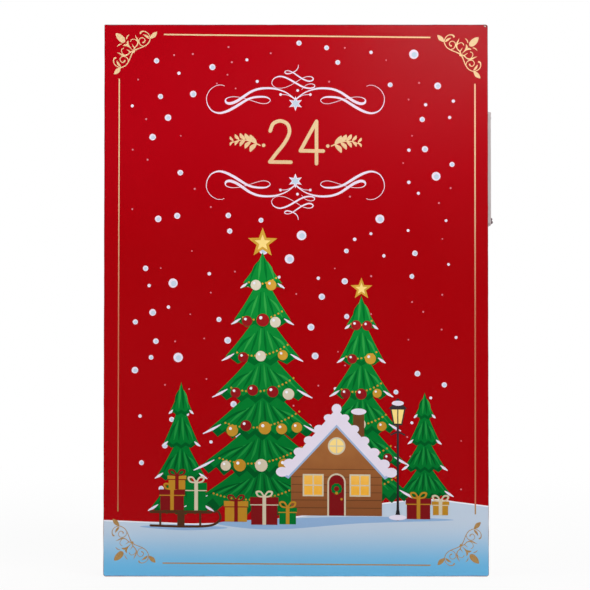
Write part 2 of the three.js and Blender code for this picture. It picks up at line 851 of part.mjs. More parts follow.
// A hinge's three knuckles, from its foot to its head. The case's leaf has the outer two.
const knucklePitch = hingeHeight / 3;
const knuckles = [0, 1, 2].map((index) => ({
  foot: -hingeHeight / 2 + index * knucklePitch + (index > 0 ? hingeKnuckleGap / 2 : 0),
  head: -hingeHeight / 2 + (index + 1) * knucklePitch - (index < 2 ? hingeKnuckleGap / 2 : 0),
}));

// One leaf about the pin's axis: a plate, its own knuckles, and room for the other leaf's.
function leafGeometry(plate, screwAxis, screwAcross, own) {
  const other = knuckles.filter((knuckle) => !own.includes(knuckle));
  const barrels = own.map(({ foot, head }) => rod("z", hingeBarrelRadius, foot, head, [0, 0], 16));
  const room = other.map(({ foot, head }) =>
    rod(
      "z",
      hingeBarrelRadius + hingeKnuckleGap,
      foot - hingeKnuckleGap,
      head + hingeKnuckleGap,
      [0, 0],
      16,
    ),
  );
  const pinHole = rod(
    "z",
    hingePinRadius + hingePinClearance,
    -hingeHeight / 2 - cutOverrun,
    hingeHeight / 2 + cutOverrun,
    [0, 0],
    12,
  );
  const screwHoles = [-1, 1].map((end) =>
    rod(
      screwAxis,
      hingeScrewHoleRadius,
      -2 * hingeBarrelRadius,
      2 * hingeBarrelRadius,
      [screwAcross, end * (hingeHeight / 2 - hingeScrewInset)],
      10,
    ),
  );
  return cut(join(cut(plate, ...room), ...barrels), pinHole, ...screwHoles);
}

// A hinge: the case's leaf lies on the outside of its left side, and the cover's on the cover's back.
function makeHinge(name, height) {
  const group = new THREE.Group();
  group.position.set(hingeAxisX, hingeAxisY, height);
  const inner = hingeBarrelRadius - hingeLeafThickness;
  const casePlate = box(
    [inner, 0, -hingeHeight / 2],
    [hingeBarrelRadius, hingeLeafWidth, hingeHeight / 2],
  );
  const coverPlate = box(
    [0, -hingeBarrelRadius, -hingeHeight / 2],
    [hingeLeafWidth, -inner, hingeHeight / 2],
  );
  const [lower, middle, upper] = knuckles;
  const caseLeaf = leafGeometry(casePlate, "x", hingeScrewOffset, [lower, upper]);
  const coverLeaf = leafGeometry(coverPlate, "y", hingeScrewOffset, [middle]);
  const pin = rod("z", hingePinRadius, -hingeHeight / 2, hingeHeight / 2, [0, 0], 12);
  group.add(
    piece(`${name}_case_leaf`, caseLeaf, brass),
    piece(`${name}_cover_leaf`, coverLeaf, brass),
    piece(`${name}_pin`, pin, brass),
  );
  return group;
}

// The cover: a board with a printed sheet on its face, and a blind hole for its half of the catch.
function makeCover() {
  const group = new THREE.Group();
  group.position.set(0, coverBackFace, coverFootGap + coverHeight / 2);
  const outline = () =>
    roundedRectangle(coverWidth, coverHeight, coverBottomRadius, coverTopRadius);
  const coverBoard = uprightPlate(outline(), coverThickness, 0, 4);
  const hole = rod(
    "y",
    magnetRadius + magnetSeat,
    -magnetLength - 2 * magnetSeat,
    cutOverrun,
    [caseRight - boardThickness / 2, caseHeight / 2 - group.position.z],
    16,
  );
  group.add(
    piece("front_cover", cut(coverBoard, hole), redPaint),
    piece(
      "cover_print",
      uprightPlate(outline(), printThickness, -coverThickness - printFilm, 4),
      printedPaper,
    ),
  );
  return group;
}

// The catch: a magnet in the case's edge, and a steel slug facing it in the cover.
function makeCatch() {
  const group = new THREE.Group();
  group.position.set(caseRight - boardThickness / 2, 0, caseHeight / 2);
  const slug = () => new THREE.CylinderGeometry(magnetRadius, magnetRadius, magnetLength, 16);
  group.add(
    piece("case_magnet", slug(), steel, [0, caseFront + magnetSeat + magnetLength / 2, 0]),
    piece("cover_magnet", slug(), steel, [0, coverBackFace - magnetSeat - magnetLength / 2, 0]),
  );
  return group;
}

const calendar = new THREE.Group();
calendar.add(
  makeCase(),
  makeRack(),
  makeDrawers(),
  makeScene(),
  makePower(),
  makeHinge("hinge_upper", coverFootGap + coverHeight - hingeInset),
  makeHinge("hinge_lower", coverFootGap + hingeInset),
  makeCover(),
  makeCatch(),
);

export default calendar;
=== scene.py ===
"""Dresses a book-shaped wooden advent calendar that lights up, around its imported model.

Lengths are in millimetres until a mesh is made from them. +Z is up and the printed cover faces -Y.
"""

from __future__ import annotations

import json
import logging
import math
import random
from dataclasses import dataclass, field
from enum import Enum
from itertools import product
from typing import Callable, ClassVar, Iterable, Sequence

import bmesh
import bpy
from mathutils import Matrix, Vector
from mathutils.geometry import convex_hull_2d, delaunay_2d_cdt


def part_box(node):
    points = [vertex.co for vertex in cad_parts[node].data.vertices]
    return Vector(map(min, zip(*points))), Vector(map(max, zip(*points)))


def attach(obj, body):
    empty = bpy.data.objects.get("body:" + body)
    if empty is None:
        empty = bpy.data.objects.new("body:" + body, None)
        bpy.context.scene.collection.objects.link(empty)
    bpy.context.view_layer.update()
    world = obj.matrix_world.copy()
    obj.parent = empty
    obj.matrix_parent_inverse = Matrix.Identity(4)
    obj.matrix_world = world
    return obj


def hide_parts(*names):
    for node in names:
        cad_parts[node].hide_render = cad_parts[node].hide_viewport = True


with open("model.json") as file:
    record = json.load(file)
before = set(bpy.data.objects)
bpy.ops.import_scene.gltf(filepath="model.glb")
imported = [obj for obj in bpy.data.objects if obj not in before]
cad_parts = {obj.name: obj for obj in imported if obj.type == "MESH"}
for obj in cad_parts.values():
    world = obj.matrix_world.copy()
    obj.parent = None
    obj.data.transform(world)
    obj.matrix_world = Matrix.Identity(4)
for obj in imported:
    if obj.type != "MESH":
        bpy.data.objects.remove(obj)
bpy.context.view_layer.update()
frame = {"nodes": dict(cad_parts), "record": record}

log = logging.getLogger("calendar")

Point = tuple[float, float]
Loop = list[Point]
Spot = tuple[float, float, float]
Colour = tuple[float, float, float, float]
Tree = bpy.types.NodeTree
Socket = bpy.types.NodeSocket

MM = 0.001
SEED = 24
RECORD = frame["record"]
BODY_OF = {node: body for body, nodes in RECORD["behaviour"]["bodies"].items() for node in nodes}


# Outlines


def hull(points: Sequence[Point]) -> Loop:
    """The convex outline round some points."""
    return [points[k] for k in convex_hull_2d(points)]


def disc(x: float, z: float, radius: float, sides: int = 18, squash: float = 1.0) -> Loop:
    """A round outline, or an oval one whose height is a share of its width."""
    turns = [2 * math.pi * k / sides for k in range(sides)]
    return [(x + radius * math.cos(a), z + squash * radius * math.sin(a)) for a in turns]


def arc(x: float, z: float, radius: float, start: float, end: float, steps: int = 6) -> Loop:
    """Points round a middle from one angle to another, in degrees."""
    turns = [math.radians(start + (end - start) * k / steps) for k in range(steps + 1)]
    return [(x + radius * math.cos(a), z + radius * math.sin(a)) for a in turns]


def star(x: float, z: float, radius: float, points: int = 5, waist: float = 0.42) -> Loop:
    """A star with one point upwards, whose inner corners lie at a share of its radius."""
    rays = [(0.5 + k / points, radius * (waist if k % 2 else 1.0)) for k in range(2 * points)]
    return [(x + r * math.cos(math.pi * t), z + r * math.sin(math.pi * t)) for t, r in rays]


def rectangle(left: float, foot: float, right: float, top: float) -> Loop:
    """A rectangle between two corners."""
    return [(left, foot), (right, foot), (right, top), (left, top)]


def band(x: float, z: float, half_width: float, half_height: float) -> Loop:
    """A rectangle round its middle."""
    return rectangle(x - half_width, z - half_height, x + half_width, z + half_height)


def moved(outlines: Iterable[Sequence[Point]], x: float, z: float, scale: float = 1.0) -> list[Loop]:
    """Outlines that were drawn round zero, scaled and moved to a place."""
    return [[(x + scale * a, z + scale * b) for a, b in outline] for outline in outlines]


def mirrored(outlines: Iterable[Sequence[Point]]) -> list[Loop]:
    """Outlines with left and right exchanged."""
    return [[(-x, z) for x, z in outline] for outline in outlines]


def smooth(points: Sequence[tuple[float, ...]], step: float = 0.7, closed: bool = False) -> list:
    """A soft curve through points, which may carry a width as well.

    Args:
        points: The points, each with the same number of values.
        step: The rough distance between the curve's own points.
        closed: Whether the curve comes back to its start.

    Returns:
        The curve's points, with as many values each as the given ones.
    """
    rows = [Vector(point) for point in points]
    if closed:
        rows = [rows[-1], *rows, rows[0], rows[1]]
    else:
        rows = [2 * rows[0] - rows[1], *rows, 2 * rows[-1] - rows[-2]]
    places = [0.0]
    for one, other in zip(rows, rows[1:]):
        places.append(places[-1] + max(1e-6, math.dist(one[:2], other[:2])) ** 0.5)
    made = []
    for k in range(1, len(rows) - 2):
        before, start, end, after = rows[k - 1:k + 3]
        span = places[k + 1] - places[k]
        leave = (end - before) / (places[k + 1] - places[k - 1]) * span
        arrive = (after - start) / (places[k + 2] - places[k]) * span
        count = max(2, round(math.dist(start[:2], end[:2]) / step))
        for t in (n / count for n in range(count)):
            here = start * (2 * t**3 - 3 * t**2 + 1) + end * (3 * t**2 - 2 * t**3)
            made.append(here + leave * (t**3 - 2 * t**2 + t) + arrive * (t**3 - t**2))
    if not closed:
        made.append(rows[-2])
    return [tuple(row) for row in made]


def leaf(points: Sequence[Point], step: float = 0.7) -> Loop:
    """A closed soft outline through points."""
    return smooth(points, step, closed=True)


def pen(points: Sequence[Spot], step: float = 0.7, soft: bool = True) -> list[Loop]:
    """A pen stroke with round ends.

    Args:
        points: Places across and up, each with the stroke's width there.
        step: The rough distance between cross lines.
        soft: Whether the stroke is a curve through the points, or straight between them.

    Returns:
        Overlapping convex outlines that make up the stroke.
    """
    rows = smooth(points, step) if soft else list(points)
    edges = []
    for k, (x, z, width) in enumerate(rows):
        (ax, az, _), (bx, bz, _) = rows[max(0, k - 1)], rows[min(len(rows) - 1, k + 1)]
        half = width / 2 / max(1e-9, math.dist((ax, az), (bx, bz)))
        out, up = (bz - az) * half, (bx - ax) * half
        edges.append([(x - out, z + up), (x + out, z - up)])
    parts = [hull(one + other) for one, other in zip(edges, edges[1:])]
    ends = (rows[0], rows[-1]) if soft else rows
    return [part for part in parts if len(part) > 2] + [disc(x, z, w / 2, 10) for x, z, w in ends]


# Strokes of the figures 0 to 9 in a box 0.6 wide and 1 high, and the pitch of two such boxes.
FIGURE_WIDTH = 0.6
FIGURE_PITCH = 0.74
FIGURES: dict[str, list[list[Point]]] = {
    "0": [[(0.3, 1), (0.1, 0.8), (0.04, 0.5), (0.1, 0.2), (0.3, 0), (0.5, 0.2), (0.56, 0.5), (0.5, 0.8),
           (0.31, 1)]],
    "1": [[(0.12, 0.78), (0.26, 0.88), (0.36, 1)], [(0.36, 1), (0.36, 0.5), (0.36, 0)]],
    "2": [[(0.07, 0.76), (0.14, 0.93), (0.31, 1), (0.48, 0.92), (0.52, 0.72), (0.4, 0.47), (0.22, 0.24),
           (0.06, 0.03)], [(0.06, 0.03), (0.3, 0.03), (0.56, 0.03)]],
    "3": [[(0.08, 0.87), (0.28, 1), (0.47, 0.9), (0.48, 0.7), (0.36, 0.57), (0.24, 0.54)],
          [(0.24, 0.54), (0.43, 0.48), (0.54, 0.28), (0.44, 0.06), (0.24, 0), (0.05, 0.12)]],
    "4": [[(0.42, 1), (0.23, 0.65), (0.04, 0.3)], [(0.04, 0.3), (0.3, 0.3), (0.58, 0.3)],
          [(0.42, 1), (0.42, 0.5), (0.42, 0)]],
    "5": [[(0.5, 0.97), (0.33, 0.97), (0.16, 0.97)], [(0.16, 0.97), (0.13, 0.76), (0.11, 0.56)],
          [(0.11, 0.56), (0.3, 0.63), (0.5, 0.52), (0.55, 0.3), (0.46, 0.07), (0.25, 0), (0.05, 0.1)]],
    "6": [[(0.47, 0.96), (0.24, 0.8), (0.09, 0.5), (0.08, 0.24), (0.18, 0.04), (0.33, 0), (0.5, 0.1),
           (0.54, 0.3), (0.45, 0.5), (0.3, 0.56), (0.14, 0.47), (0.09, 0.32)]],
    "7": [[(0.05, 0.97), (0.3, 0.97), (0.55, 0.97)], [(0.55, 0.97), (0.36, 0.6), (0.25, 0.3), (0.2, 0)]],
    "8": [[(0.3, 0.54), (0.12, 0.68), (0.12, 0.87), (0.3, 1), (0.48, 0.87), (0.48, 0.68), (0.3, 0.54),
           (0.09, 0.38), (0.08, 0.14), (0.3, 0), (0.52, 0.14), (0.51, 0.38), (0.31, 0.54)]],
    "9": [[(0.13, 0.04), (0.36, 0.2), (0.51, 0.5), (0.52, 0.76), (0.42, 0.96), (0.27, 1), (0.1, 0.9),
           (0.06, 0.7), (0.15, 0.5), (0.3, 0.44), (0.46, 0.53), (0.51, 0.68)]],
}


def figures(text: str, x: float, z: float, height: float, stroke: float) -> list[Loop]:
    """Hand-painted figures.

    Args:
        text: The figures.
        x: Their middle, across.
        z: Their foot.
        height: Their height.
        stroke: The brush's width.

    Returns:
        The strokes' outlines.
    """
    left = x - (FIGURE_PITCH * (len(text) - 1) + FIGURE_WIDTH) * height / 2
    parts = []
    for place, figure in enumerate(text):
        for line in moved(FIGURES[figure], left + place * FIGURE_PITCH * height, z, height):
            parts += pen([(*point, stroke) for point in line], stroke / 3)
    return parts


def crystal(x: float, z: float, radius: float, width: float) -> list[Loop]:
    """A six-armed snow crystal.

    Args:
        x: Its middle, across.
        z: Its middle, up.
        radius: The length of an arm.
        width: The width of a stroke.

    Returns:
        The strokes' outlines.
    """
    parts = []
    for angle in (math.pi / 2 + k * math.pi / 3 for k in range(6)):
        across, up = math.cos(angle), math.sin(angle)
        parts += pen([(x, z, width), (x + radius * across, z + radius * up, width)], soft=False)
        knee = (x + 0.55 * radius * across, z + 0.55 * radius * up)
        for twig in (angle - math.pi / 3.4, angle + math.pi / 3.4):
            end = (knee[0] + 0.34 * radius * math.cos(twig), knee[1] + 0.34 * radius * math.sin(twig))
            parts += pen([(*knee, width), (*end, width)], soft=False)
    return parts


# Meshes


class Facing(Enum):
    """Which way a flat outline looks: where its width and its depth lead on the floor."""

    FRONT = ((1, 0), (0, 1))
    BACK = ((-1, 0), (0, 1))
    LEFT = ((0, -1), (1, 0))


class Way(Enum):
    """Which way a turned solid points, as its turn about X in degrees."""

    UP = 0
    DOWN = 180
    FRONT = 90
    BACK = -90


@dataclass
class Draft:
    """Closed solids that are gathered into one mesh. The coat is the number of the next one's finish."""

    corners: list[Spot] = field(default_factory=list)
    faces: list[list[int]] = field(default_factory=list)
    coats: list[int] = field(default_factory=list)
    coat: int = 0

    def coated(self, coat: int) -> Draft:
        """Gives what is added next another finish."""
        self.coat = coat
        return self

    def add(self, corners: Sequence[Spot], faces: Sequence[Sequence[int]]) -> Draft:
        """Adds a solid.

        Args:
            corners: Its corners.
            faces: Its faces, which count from the first of these corners.

        Returns:
            The draft itself.
        """
        start = len(self.corners)
        self.corners += corners
        self.faces += [[start + corner for corner in face] for face in faces]
        self.coats += [self.coat] * len(faces)
        return self

    def block(self, low: Spot, high: Spot) -> Draft:
        """Adds a block between its lowest and its highest corner."""
        faces = [(0, 1, 3, 2), (4, 6, 7, 5), (0, 4, 5, 1), (2, 3, 7, 6), (0, 2, 6, 4), (1, 5, 7, 3)]
        return self.add(list(product(*zip(low, high))), faces)

    def tray(self, low: Spot, high: Spot, wall: float, floor: float) -> Draft:
        """Adds a block that is hollow from above.

        Args:
            low: Its lowest corner.
            high: Its highest corner.
            wall: The walls' thickness.
            floor: The floor's thickness.

        Returns:
            The draft itself.
        """
        corners: list[Spot] = []
        for inset, z in ((0, low[2]), (0, high[2]), (wall, high[2]), (wall, low[2] + floor)):
            ring = rectangle(low[0] + inset, low[1] + inset, high[0] - inset, high[1] - inset)
            corners += [(x, y, z) for x, y in ring]
        faces = [(3, 2, 1, 0), (12, 13, 14, 15)]
        for ring_start in (0, 4, 8):
            for a, b in ((0, 1), (1, 2), (2, 3), (3, 0)):
                faces.append(tuple(ring_start + corner for corner in (a, b, b + 4, a + 4)))
        return self.add(corners, faces)

    def turned(self, profile: Sequence[Point], at: Spot, way: Way = Way.UP, sides: int = 32) -> Draft:
        """Adds a turned solid.

        Args:
            profile: Radii and heights along the axis, from its foot to its head.
            at: Where the profile's zero is.
            way: Which way its head points.
            sides: How many sides it has.

        Returns:
            The draft itself.
        """
        turn = Matrix.Rotation(math.radians(way.value), 3, "X")
        corners: list[Spot] = []
        rings = []
        for radius, height in profile:
            ring = disc(0.0, 0.0, radius, sides) if radius > 0 else [(0.0, 0.0)]
            rings.append(range(len(corners), len(corners) + len(ring)))
            corners += [tuple(turn @ Vector((x, y, height)) + Vector(at)) for x, y in ring]
        faces = []
        for one, other in zip(rings, rings[1:]):
            for k in range(sides):
                n = (k + 1) % sides
                quad = (one[k % len(one)], one[n % len(one)], other[n % len(other)], other[k % len(other)])
                faces.append(list(dict.fromkeys(quad)))
        faces += [rings[0][::-1], rings[-1]]
        return self.add(corners, [face for face in faces if len(face) > 2])

    def tube(self, path: Sequence[Spot], radius: float, sides: int = 8) -> Draft:
        """Adds a round bar along a path.

        Args:
            path: The points of its middle line.
            radius: Its radius.
            sides: How many sides it has.

        Returns:
            The draft itself.
        """
        rows = [Vector(spot) for spot in path]
        across = (rows[1] - rows[0]).normalized().orthogonal().normalized()
        corners: list[Spot] = []
        for k, spot in enumerate(rows):
            ahead = (rows[min(k + 1, len(rows) - 1)] - rows[max(k - 1, 0)]).normalized()
            across = (across - across.dot(ahead) * ahead).normalized()
            up = ahead.cross(across)
            corners += [tuple(spot + a * across + b * up) for a, b in disc(0.0, 0.0, radius, sides)]
        faces: list[Sequence[int]] = [range(sides)[::-1], range(len(corners) - sides, len(corners))]
        for k in range(0, len(corners) - sides, sides):
            for a, b in ((k + n, k + (n + 1) % sides) for n in range(sides)):
                faces.append((a, b, b + sides, a + sides))
        return self.add(corners, faces)

    def plate(
        self, outlines: Iterable[Loop], front: float, back: float, holes: Iterable[Loop] = (),
        facing: Facing = Facing.FRONT,
    ) -> Draft:
        """Adds a plate whose outline is all of some outlines together, less some holes.

        Args:
            outlines: Simple outlines, which may overlap.
            front: Where the face that is seen lies along the way it looks.
            back: Where the other face lies.
            holes: Simple outlines that are left open.
            facing: Which way the plate looks.

        Returns:
            The draft itself.
        """
        solid, empty = [list(one) for one in outlines], [list(one) for one in holes]
        points: list[Vector] = []
        loops = []
        for loop in solid + empty:
            area = sum(a[0] * b[1] - b[0] * a[1] for a, b in zip(loop, loop[1:] + loop[:1]))
            loops.append(list(range(len(points), len(points) + len(loop))))
            points += [Vector(point) for point in (loop if area > 0 else loop[::-1])]
        flat, _, cells, _, _, sources = delaunay_2d_cdt(points, [], loops, 1, 1e-4, True)
        kept = [cell for cell, source in zip(cells, sources) if source and max(source) < len(solid)]
        used = sorted({corner for cell in kept for corner in cell})
        number = {corner: place for place, corner in enumerate(used)}
        (ax, ay), (dx, dy) = facing.value
        corners = [
            (ax * flat[k][0] + dx * depth, ay * flat[k][0] + dy * depth, flat[k][1])
            for depth in (front, back) for k in used
        ]
        faces: list[list[int]] = []
        edges = set()
        for cell in kept:
            ring = [number[corner] for corner in cell]
            faces += [ring, [corner + len(used) for corner in reversed(ring)]]
            edges.update(zip(ring, ring[1:] + ring[:1]))
        rims = [(a, b) for a, b in sorted(edges) if (b, a) not in edges]
        return self.add(corners, faces + [[b, a, a + len(used), b + len(used)] for a, b in rims])

    def mesh(self, name: str) -> bpy.types.Mesh:
        """The solids as one mesh, in metres.

        Args:
            name: The mesh's name.

        Returns:
            The mesh.
        """
        made = bpy.data.meshes.new(name)
        made.from_pydata([tuple(v * MM for v in spot) for spot in self.corners], [], self.faces)
        made.polygons.foreach_set("material_index", self.coats)
        made.validate()
        made.update()
        return made


# Materials


def linear(code: str) -> Colour:
    """An sRGB hex code as linear red, green and blue, and 1."""
    values = [int(code[k:k + 2], 16) / 255 for k in (1, 3, 5)]
    return (*[v / 12.92 if v <= 0.04045 else ((v + 0.055) / 1.055) ** 2.4 for v in values], 1.0)


def plug(tree: Tree, socket: Socket, value: object) -> None:
    """Gives an input what goes into it.

    Args:
        tree: The tree that holds the input.
        socket: The input.
        value: An output to link, a colour's hex code or a plain value.
    """
    if isinstance(value, Socket):
        tree.links.new(value, socket)
    else:
        socket.default_value = linear(value) if isinstance(value, str) else value


def add_node(
    tree: Tree, kind: str, inputs: dict[int | str, object], output: int | str = 0, **settings: str
) -> Socket:
    """Adds a node with its settings and links.

    Args:
        tree: The material's or the world's tree.
        kind: The node's type, without the leading ShaderNode.
        inputs: What goes into its inputs, by their names or numbers.
        output: The name or number of the output that is wanted.
        **settings: Values of the node itself.

    Returns:
        That output.
    """
    node = tree.nodes.new(f"ShaderNode{kind}")
    for name, value in settings.items():
        setattr(node, name, value)
    for key, value in inputs.items():
        plug(tree, node.inputs[key], value)
    return node.outputs[output]


class Tone:
    """A share from 0 to 1 that changes over a piece."""

    def share(self, tree: Tree) -> Socket:
        """The share's output in a material's tree."""
        raise NotImplementedError

    def colour(self, tree: Tree, low: str | Socket, high: str | Socket) -> Socket:
        """Two colours that the share parts.

        Args:
            tree: The material's tree.
            low: The colour where the share is 0.
            high: The colour where it is 1.

        Returns:
            The colour's output.
        """
        return add_node(tree, "Mix", {0: self.share(tree), 6: low, 7: high}, 2, data_type="RGBA")

    def relief(self, tree: Tree, depth: float) -> Socket:
        """The share as a bump that is so many millimetres deep."""
        return add_node(tree, "Bump", {"Strength": 1.0, "Distance": depth * MM, "Height": self.share(tree)})


@dataclass(frozen=True)
class Patches(Tone):
    """Soft patches of noise.

    Attributes:
        size: A patch's width in millimetres.
        stretch: How much closer the patches are along each axis.
        detail: How many finer levels there are.
        contrast: How sharply the patches part.
    """

    size: float
    stretch: Spot = (1.0, 1.0, 1.0)
    detail: float = 2.0
    contrast: float = 1.0

    def share(self, tree: Tree) -> Socket:
        """The noise at a place on the piece, which lies mostly within 0.28 of 0.5, spread from 0 to 1."""
        place = add_node(tree, "TexCoord", {}, "Object")
        spread = add_node(tree, "VectorMath", {0: place, 1: self.stretch}, operation="MULTIPLY")
        inputs = {"Vector": spread, "Scale": 1 / (self.size * MM), "Detail": self.detail}
        noise, reach = add_node(tree, "TexNoise", inputs), 0.28 / self.contrast
        return add_node(tree, "MapRange", {"Value": noise, "From Min": 0.5 - reach, "From Max": 0.5 + reach})


@dataclass(frozen=True)
class Fade(Tone):
    """A share that grows along an axis, from 0 at one place to 1 at another."""

    start: float
    end: float
    axis: str = "Z"

    def share(self, tree: Tree) -> Socket:
        """The way between the two places, with soft ends."""
        place = add_node(tree, "TexCoord", {}, "Object")
        way = add_node(tree, "SeparateXYZ", {0: place}, self.axis)
        inputs = {"Value": way, "From Min": self.start * MM, "From Max": self.end * MM}
        return add_node(tree, "MapRange", inputs, interpolation_type="SMOOTHSTEP")


@dataclass(frozen=True)
class Plies(Tone):
    """The stripes of a board's plies, which show in its edges."""

    axis: str
    thickness: float = 0.8

    def share(self, tree: Tree) -> Socket:
        """1 in every other ply through the board's thickness, and 0 between, with narrow soft bounds."""
        place = add_node(tree, "TexCoord", {}, "Object")
        way = add_node(tree, "SeparateXYZ", {0: place}, self.axis)
        turns = add_node(tree, "Math", {0: way, 1: math.pi / (self.thickness * MM)}, operation="MULTIPLY")
        wave = add_node(tree, "Math", {0: turns}, operation="SINE")
        return add_node(tree, "MapRange", {"Value": wave, "From Min": -0.3, "From Max": 0.3})


@dataclass(frozen=True)
class Finish:
    """What a surface is and how it was made."""

    name: str

    def shade(self, tree: Tree) -> dict[str, object]:
        """A value, a colour or an output for each of the shader's inputs."""
        raise NotImplementedError

    def material(self) -> bpy.types.Material:
        """The material, made once.

        Returns:
            The Blender material of this name.
        """
        made = bpy.data.materials.get(self.name)
        if made is None:
            made = bpy.data.materials.new(self.name)
            made.use_nodes = True
            tree = made.node_tree
            shader = tree.nodes["Principled BSDF"]
            for key, value in self.shade(tree).items():
                plug(tree, shader.inputs[key], value)
        return made


@dataclass(frozen=True)
class PrintedPaper(Finish):
    """Art paper, offset printed and satin varnished: even colour under a soft glare with a fine grain, with
    painted shade that darkens the plain red towards the foot.
    """

    # The plain red's two tones are a painted shade: darker towards the foot, where less light falls.
    upper: str = "#b50212"
    lower: str = "#a80109"
    foot: float = 215.0
    head: float = 345.0
    patch: float = 60.0
    roughness: float = 0.2

    def shade(self, tree: Tree) -> dict[str, object]:
        """Fades from the foot's colour to the head's, which on the plain red is a painted shade, with a sheen
        broken up by the board below.
        """
        least, most = self.roughness - 0.03, self.roughness + 0.04
        uneven = {"Value": Patches(self.patch).share(tree), "To Min": least, "To Max": most}
        return {
            # On the plain red this fade is a painted shade; on the inks it is their own drawn tone.
            "Base Color": Fade(self.foot, self.head).colour(tree, self.lower, self.upper),
            "Roughness": add_node(tree, "MapRange", uneven),
            "IOR": 1.5,
            # A thin satin varnish gives back less light than a full gloss one.
            "Specular IOR Level": 0.15,
            # The varnish's real grain is about 0.3 mm, drawn at 1.2 mm to show in the glare.
            "Normal": Patches(1.2, detail=3.0).relief(tree, 0.02),
        }


@dataclass(frozen=True)
class PrintedInk(PrintedPaper):
    """One ink colour of the print under the same varnish, shaded softly across the drawn shape."""

    shadow: float = 0.0

    def shade(self, tree: Tree) -> dict[str, object]:
        """Fades with height and mottles a little towards the lower colour, like a drawn tone."""
        inputs = super().shade(tree)
        mottle = {"Value": Patches(self.patch, detail=1.0).share(tree), "To Max": self.shadow}
        tones = {0: add_node(tree, "MapRange", mottle), 6: inputs["Base Color"], 7: self.lower}
        return {**inputs, "Base Color": add_node(tree, "Mix", tones, 2, data_type="RGBA")}


@dataclass(frozen=True)
class GoldFoil(Finish):
    """Hot-stamped gold foil, with a painted reflection: pale gold where it would mirror the light, copper
    where it would mirror the dark.
    """

    def shade(self, tree: Tree) -> dict[str, object]:
        """Fades downward from pale gold to copper as a painted reflection, and is a worn gold over the pale
        ground at the foot.
        """
        # The foil's real specks are about 0.2 mm, drawn at 0.9 mm to show.
        specks = Patches(0.9, contrast=1.5)
        # The fade from copper below to pale gold above is a painted reflection of the lamps and of the dark
        # front.
        gold = Fade(160.0, 345.0).colour(tree, "#cd7050", specks.colour(tree, "#f8cf98", "#ffe2b0"))
        worn = specks.colour(tree, "#a87c40", "#bd9459")
        return {
            "Base Color": Fade(49.0, 55.0).colour(tree, worn, gold),
            # Matched: the thin worn foil mirrors far less than a whole sheet of metal.
            "Metallic": 0.15,
            "Roughness": 0.38,
            "Normal": specks.relief(tree, 0.006),
        }


@dataclass(frozen=True)
class MottledFinish(Finish):
    """A finish of two close tones in patches, over a fine relief.

    Attributes:
        colour: Its colour.
        dull: The colour of its duller patches.
        roughness: How far it scatters what it mirrors.
        patches: Where the two colours lie.
        grain: The relief's pattern.
        depth: The relief's depth in millimetres.
        plain: The shader's inputs that are the same all over.
    """

    colour: str
    dull: str
    roughness: float

    patches: ClassVar[Tone]
    grain: ClassVar[Tone]
    depth: ClassVar[float]
    plain: ClassVar[dict[str, float]]

    def shade(self, tree: Tree) -> dict[str, object]:
        """The two tones and the relief."""
        return {
            "Base Color": self.patches.colour(tree, self.dull, self.colour),
            "Roughness": self.roughness,
            "Normal": self.grain.relief(tree, self.depth),
            **self.plain,
        }


@dataclass(frozen=True)
class SprayedPaint(MottledFinish):
    """Wood-fibre board, sprayed with satin paint: thin clouds in it, soft sheen on a slight orange peel."""

    patches = Patches(35.0)
    # The peel's real pitch is about 0.8 mm, drawn at 1.6 mm to show.
    grain = Patches(1.6)
    depth = 0.02
    plain = {"IOR": 1.48}


@dataclass(frozen=True)
class BrushedPaint(MottledFinish):
    """Thin sawn wood, brushed with matt paint: the brush's faint upright streaks and a dry look."""

    roughness: float = 0.62

    # Streaks about 1.5 mm wide that run with the brush.
    patches = grain = Patches(1.5, (1.0, 1.0, 0.12), 3.0)
    depth = 0.03
    plain = {"IOR": 1.48}


@dataclass(frozen=True)
class PressedHardboard(MottledFinish):
    """Hardboard, pressed and left bare: brown, with short fibres about 1 mm wide over wider clouds."""

    roughness: float = 0.74

    patches = Patches(22.0)
    grain = Patches(1.0, (0.4, 1.0, 1.0), 4.0, 1.4)
    depth = 0.06
    plain = {"IOR": 1.5}

    def shade(self, tree: Tree) -> dict[str, object]:
        """Clouds, with the duller colour between the fibres as well."""
        inputs = super().shade(tree)
        return {**inputs, "Base Color": self.grain.colour(tree, self.dull, inputs["Base Color"])}


@dataclass(frozen=True)
class StampedMetal(MottledFinish):
    """Sheet metal, stamped and tumbled: a satin gloss with duller patches and short rubbed marks."""

    patches = Patches(6.0, detail=3.0)
    # Rubbed marks about 0.6 mm wide.
    grain = Patches(0.6, (1.0, 1.0, 0.15), 3.0)
    depth = 0.01
    plain = {"Metallic": 1.0}


@dataclass(frozen=True)
class MouldedPlastic(MottledFinish):
    """ABS, injection moulded with a spark-eroded texture: an even satin, pebbled at about 0.5 mm."""

    patches = Patches(14.0)
    grain = Patches(0.5)
    depth = 0.015
    plain = {"IOR": 1.53}


@dataclass(frozen=True)
class WireSleeve(MottledFinish):
    """PVC, extruded round a thin wire: dull, slightly kinked and not quite even along the wire."""

    patches = Patches(5.0)
    grain = Patches(1.0)
    depth = 0.01
    plain = {"IOR": 1.53}


@dataclass(frozen=True)
class NightSky(Finish):
    """Thin board, sprayed dark blue: paler towards the houses, as after sunset."""

    def shade(self, tree: Tree) -> dict[str, object]:
        """Fades upward from dusk blue to night blue, with faint clouds."""
        clouds = Patches(26.0, (0.5, 1.0, 1.0), 3.0)
        dusk, night = clouds.colour(tree, "#4d6fa6", "#6d8cbc"), clouds.colour(tree, "#132448", "#1b3260")
        return {
            "Base Color": Fade(215.0, 380.0).colour(tree, dusk, night),
            "Roughness": 0.6,
            # The spray's peel, as on the painted boards.
            "Normal": Patches(1.6).relief(tree, 0.02),
        }


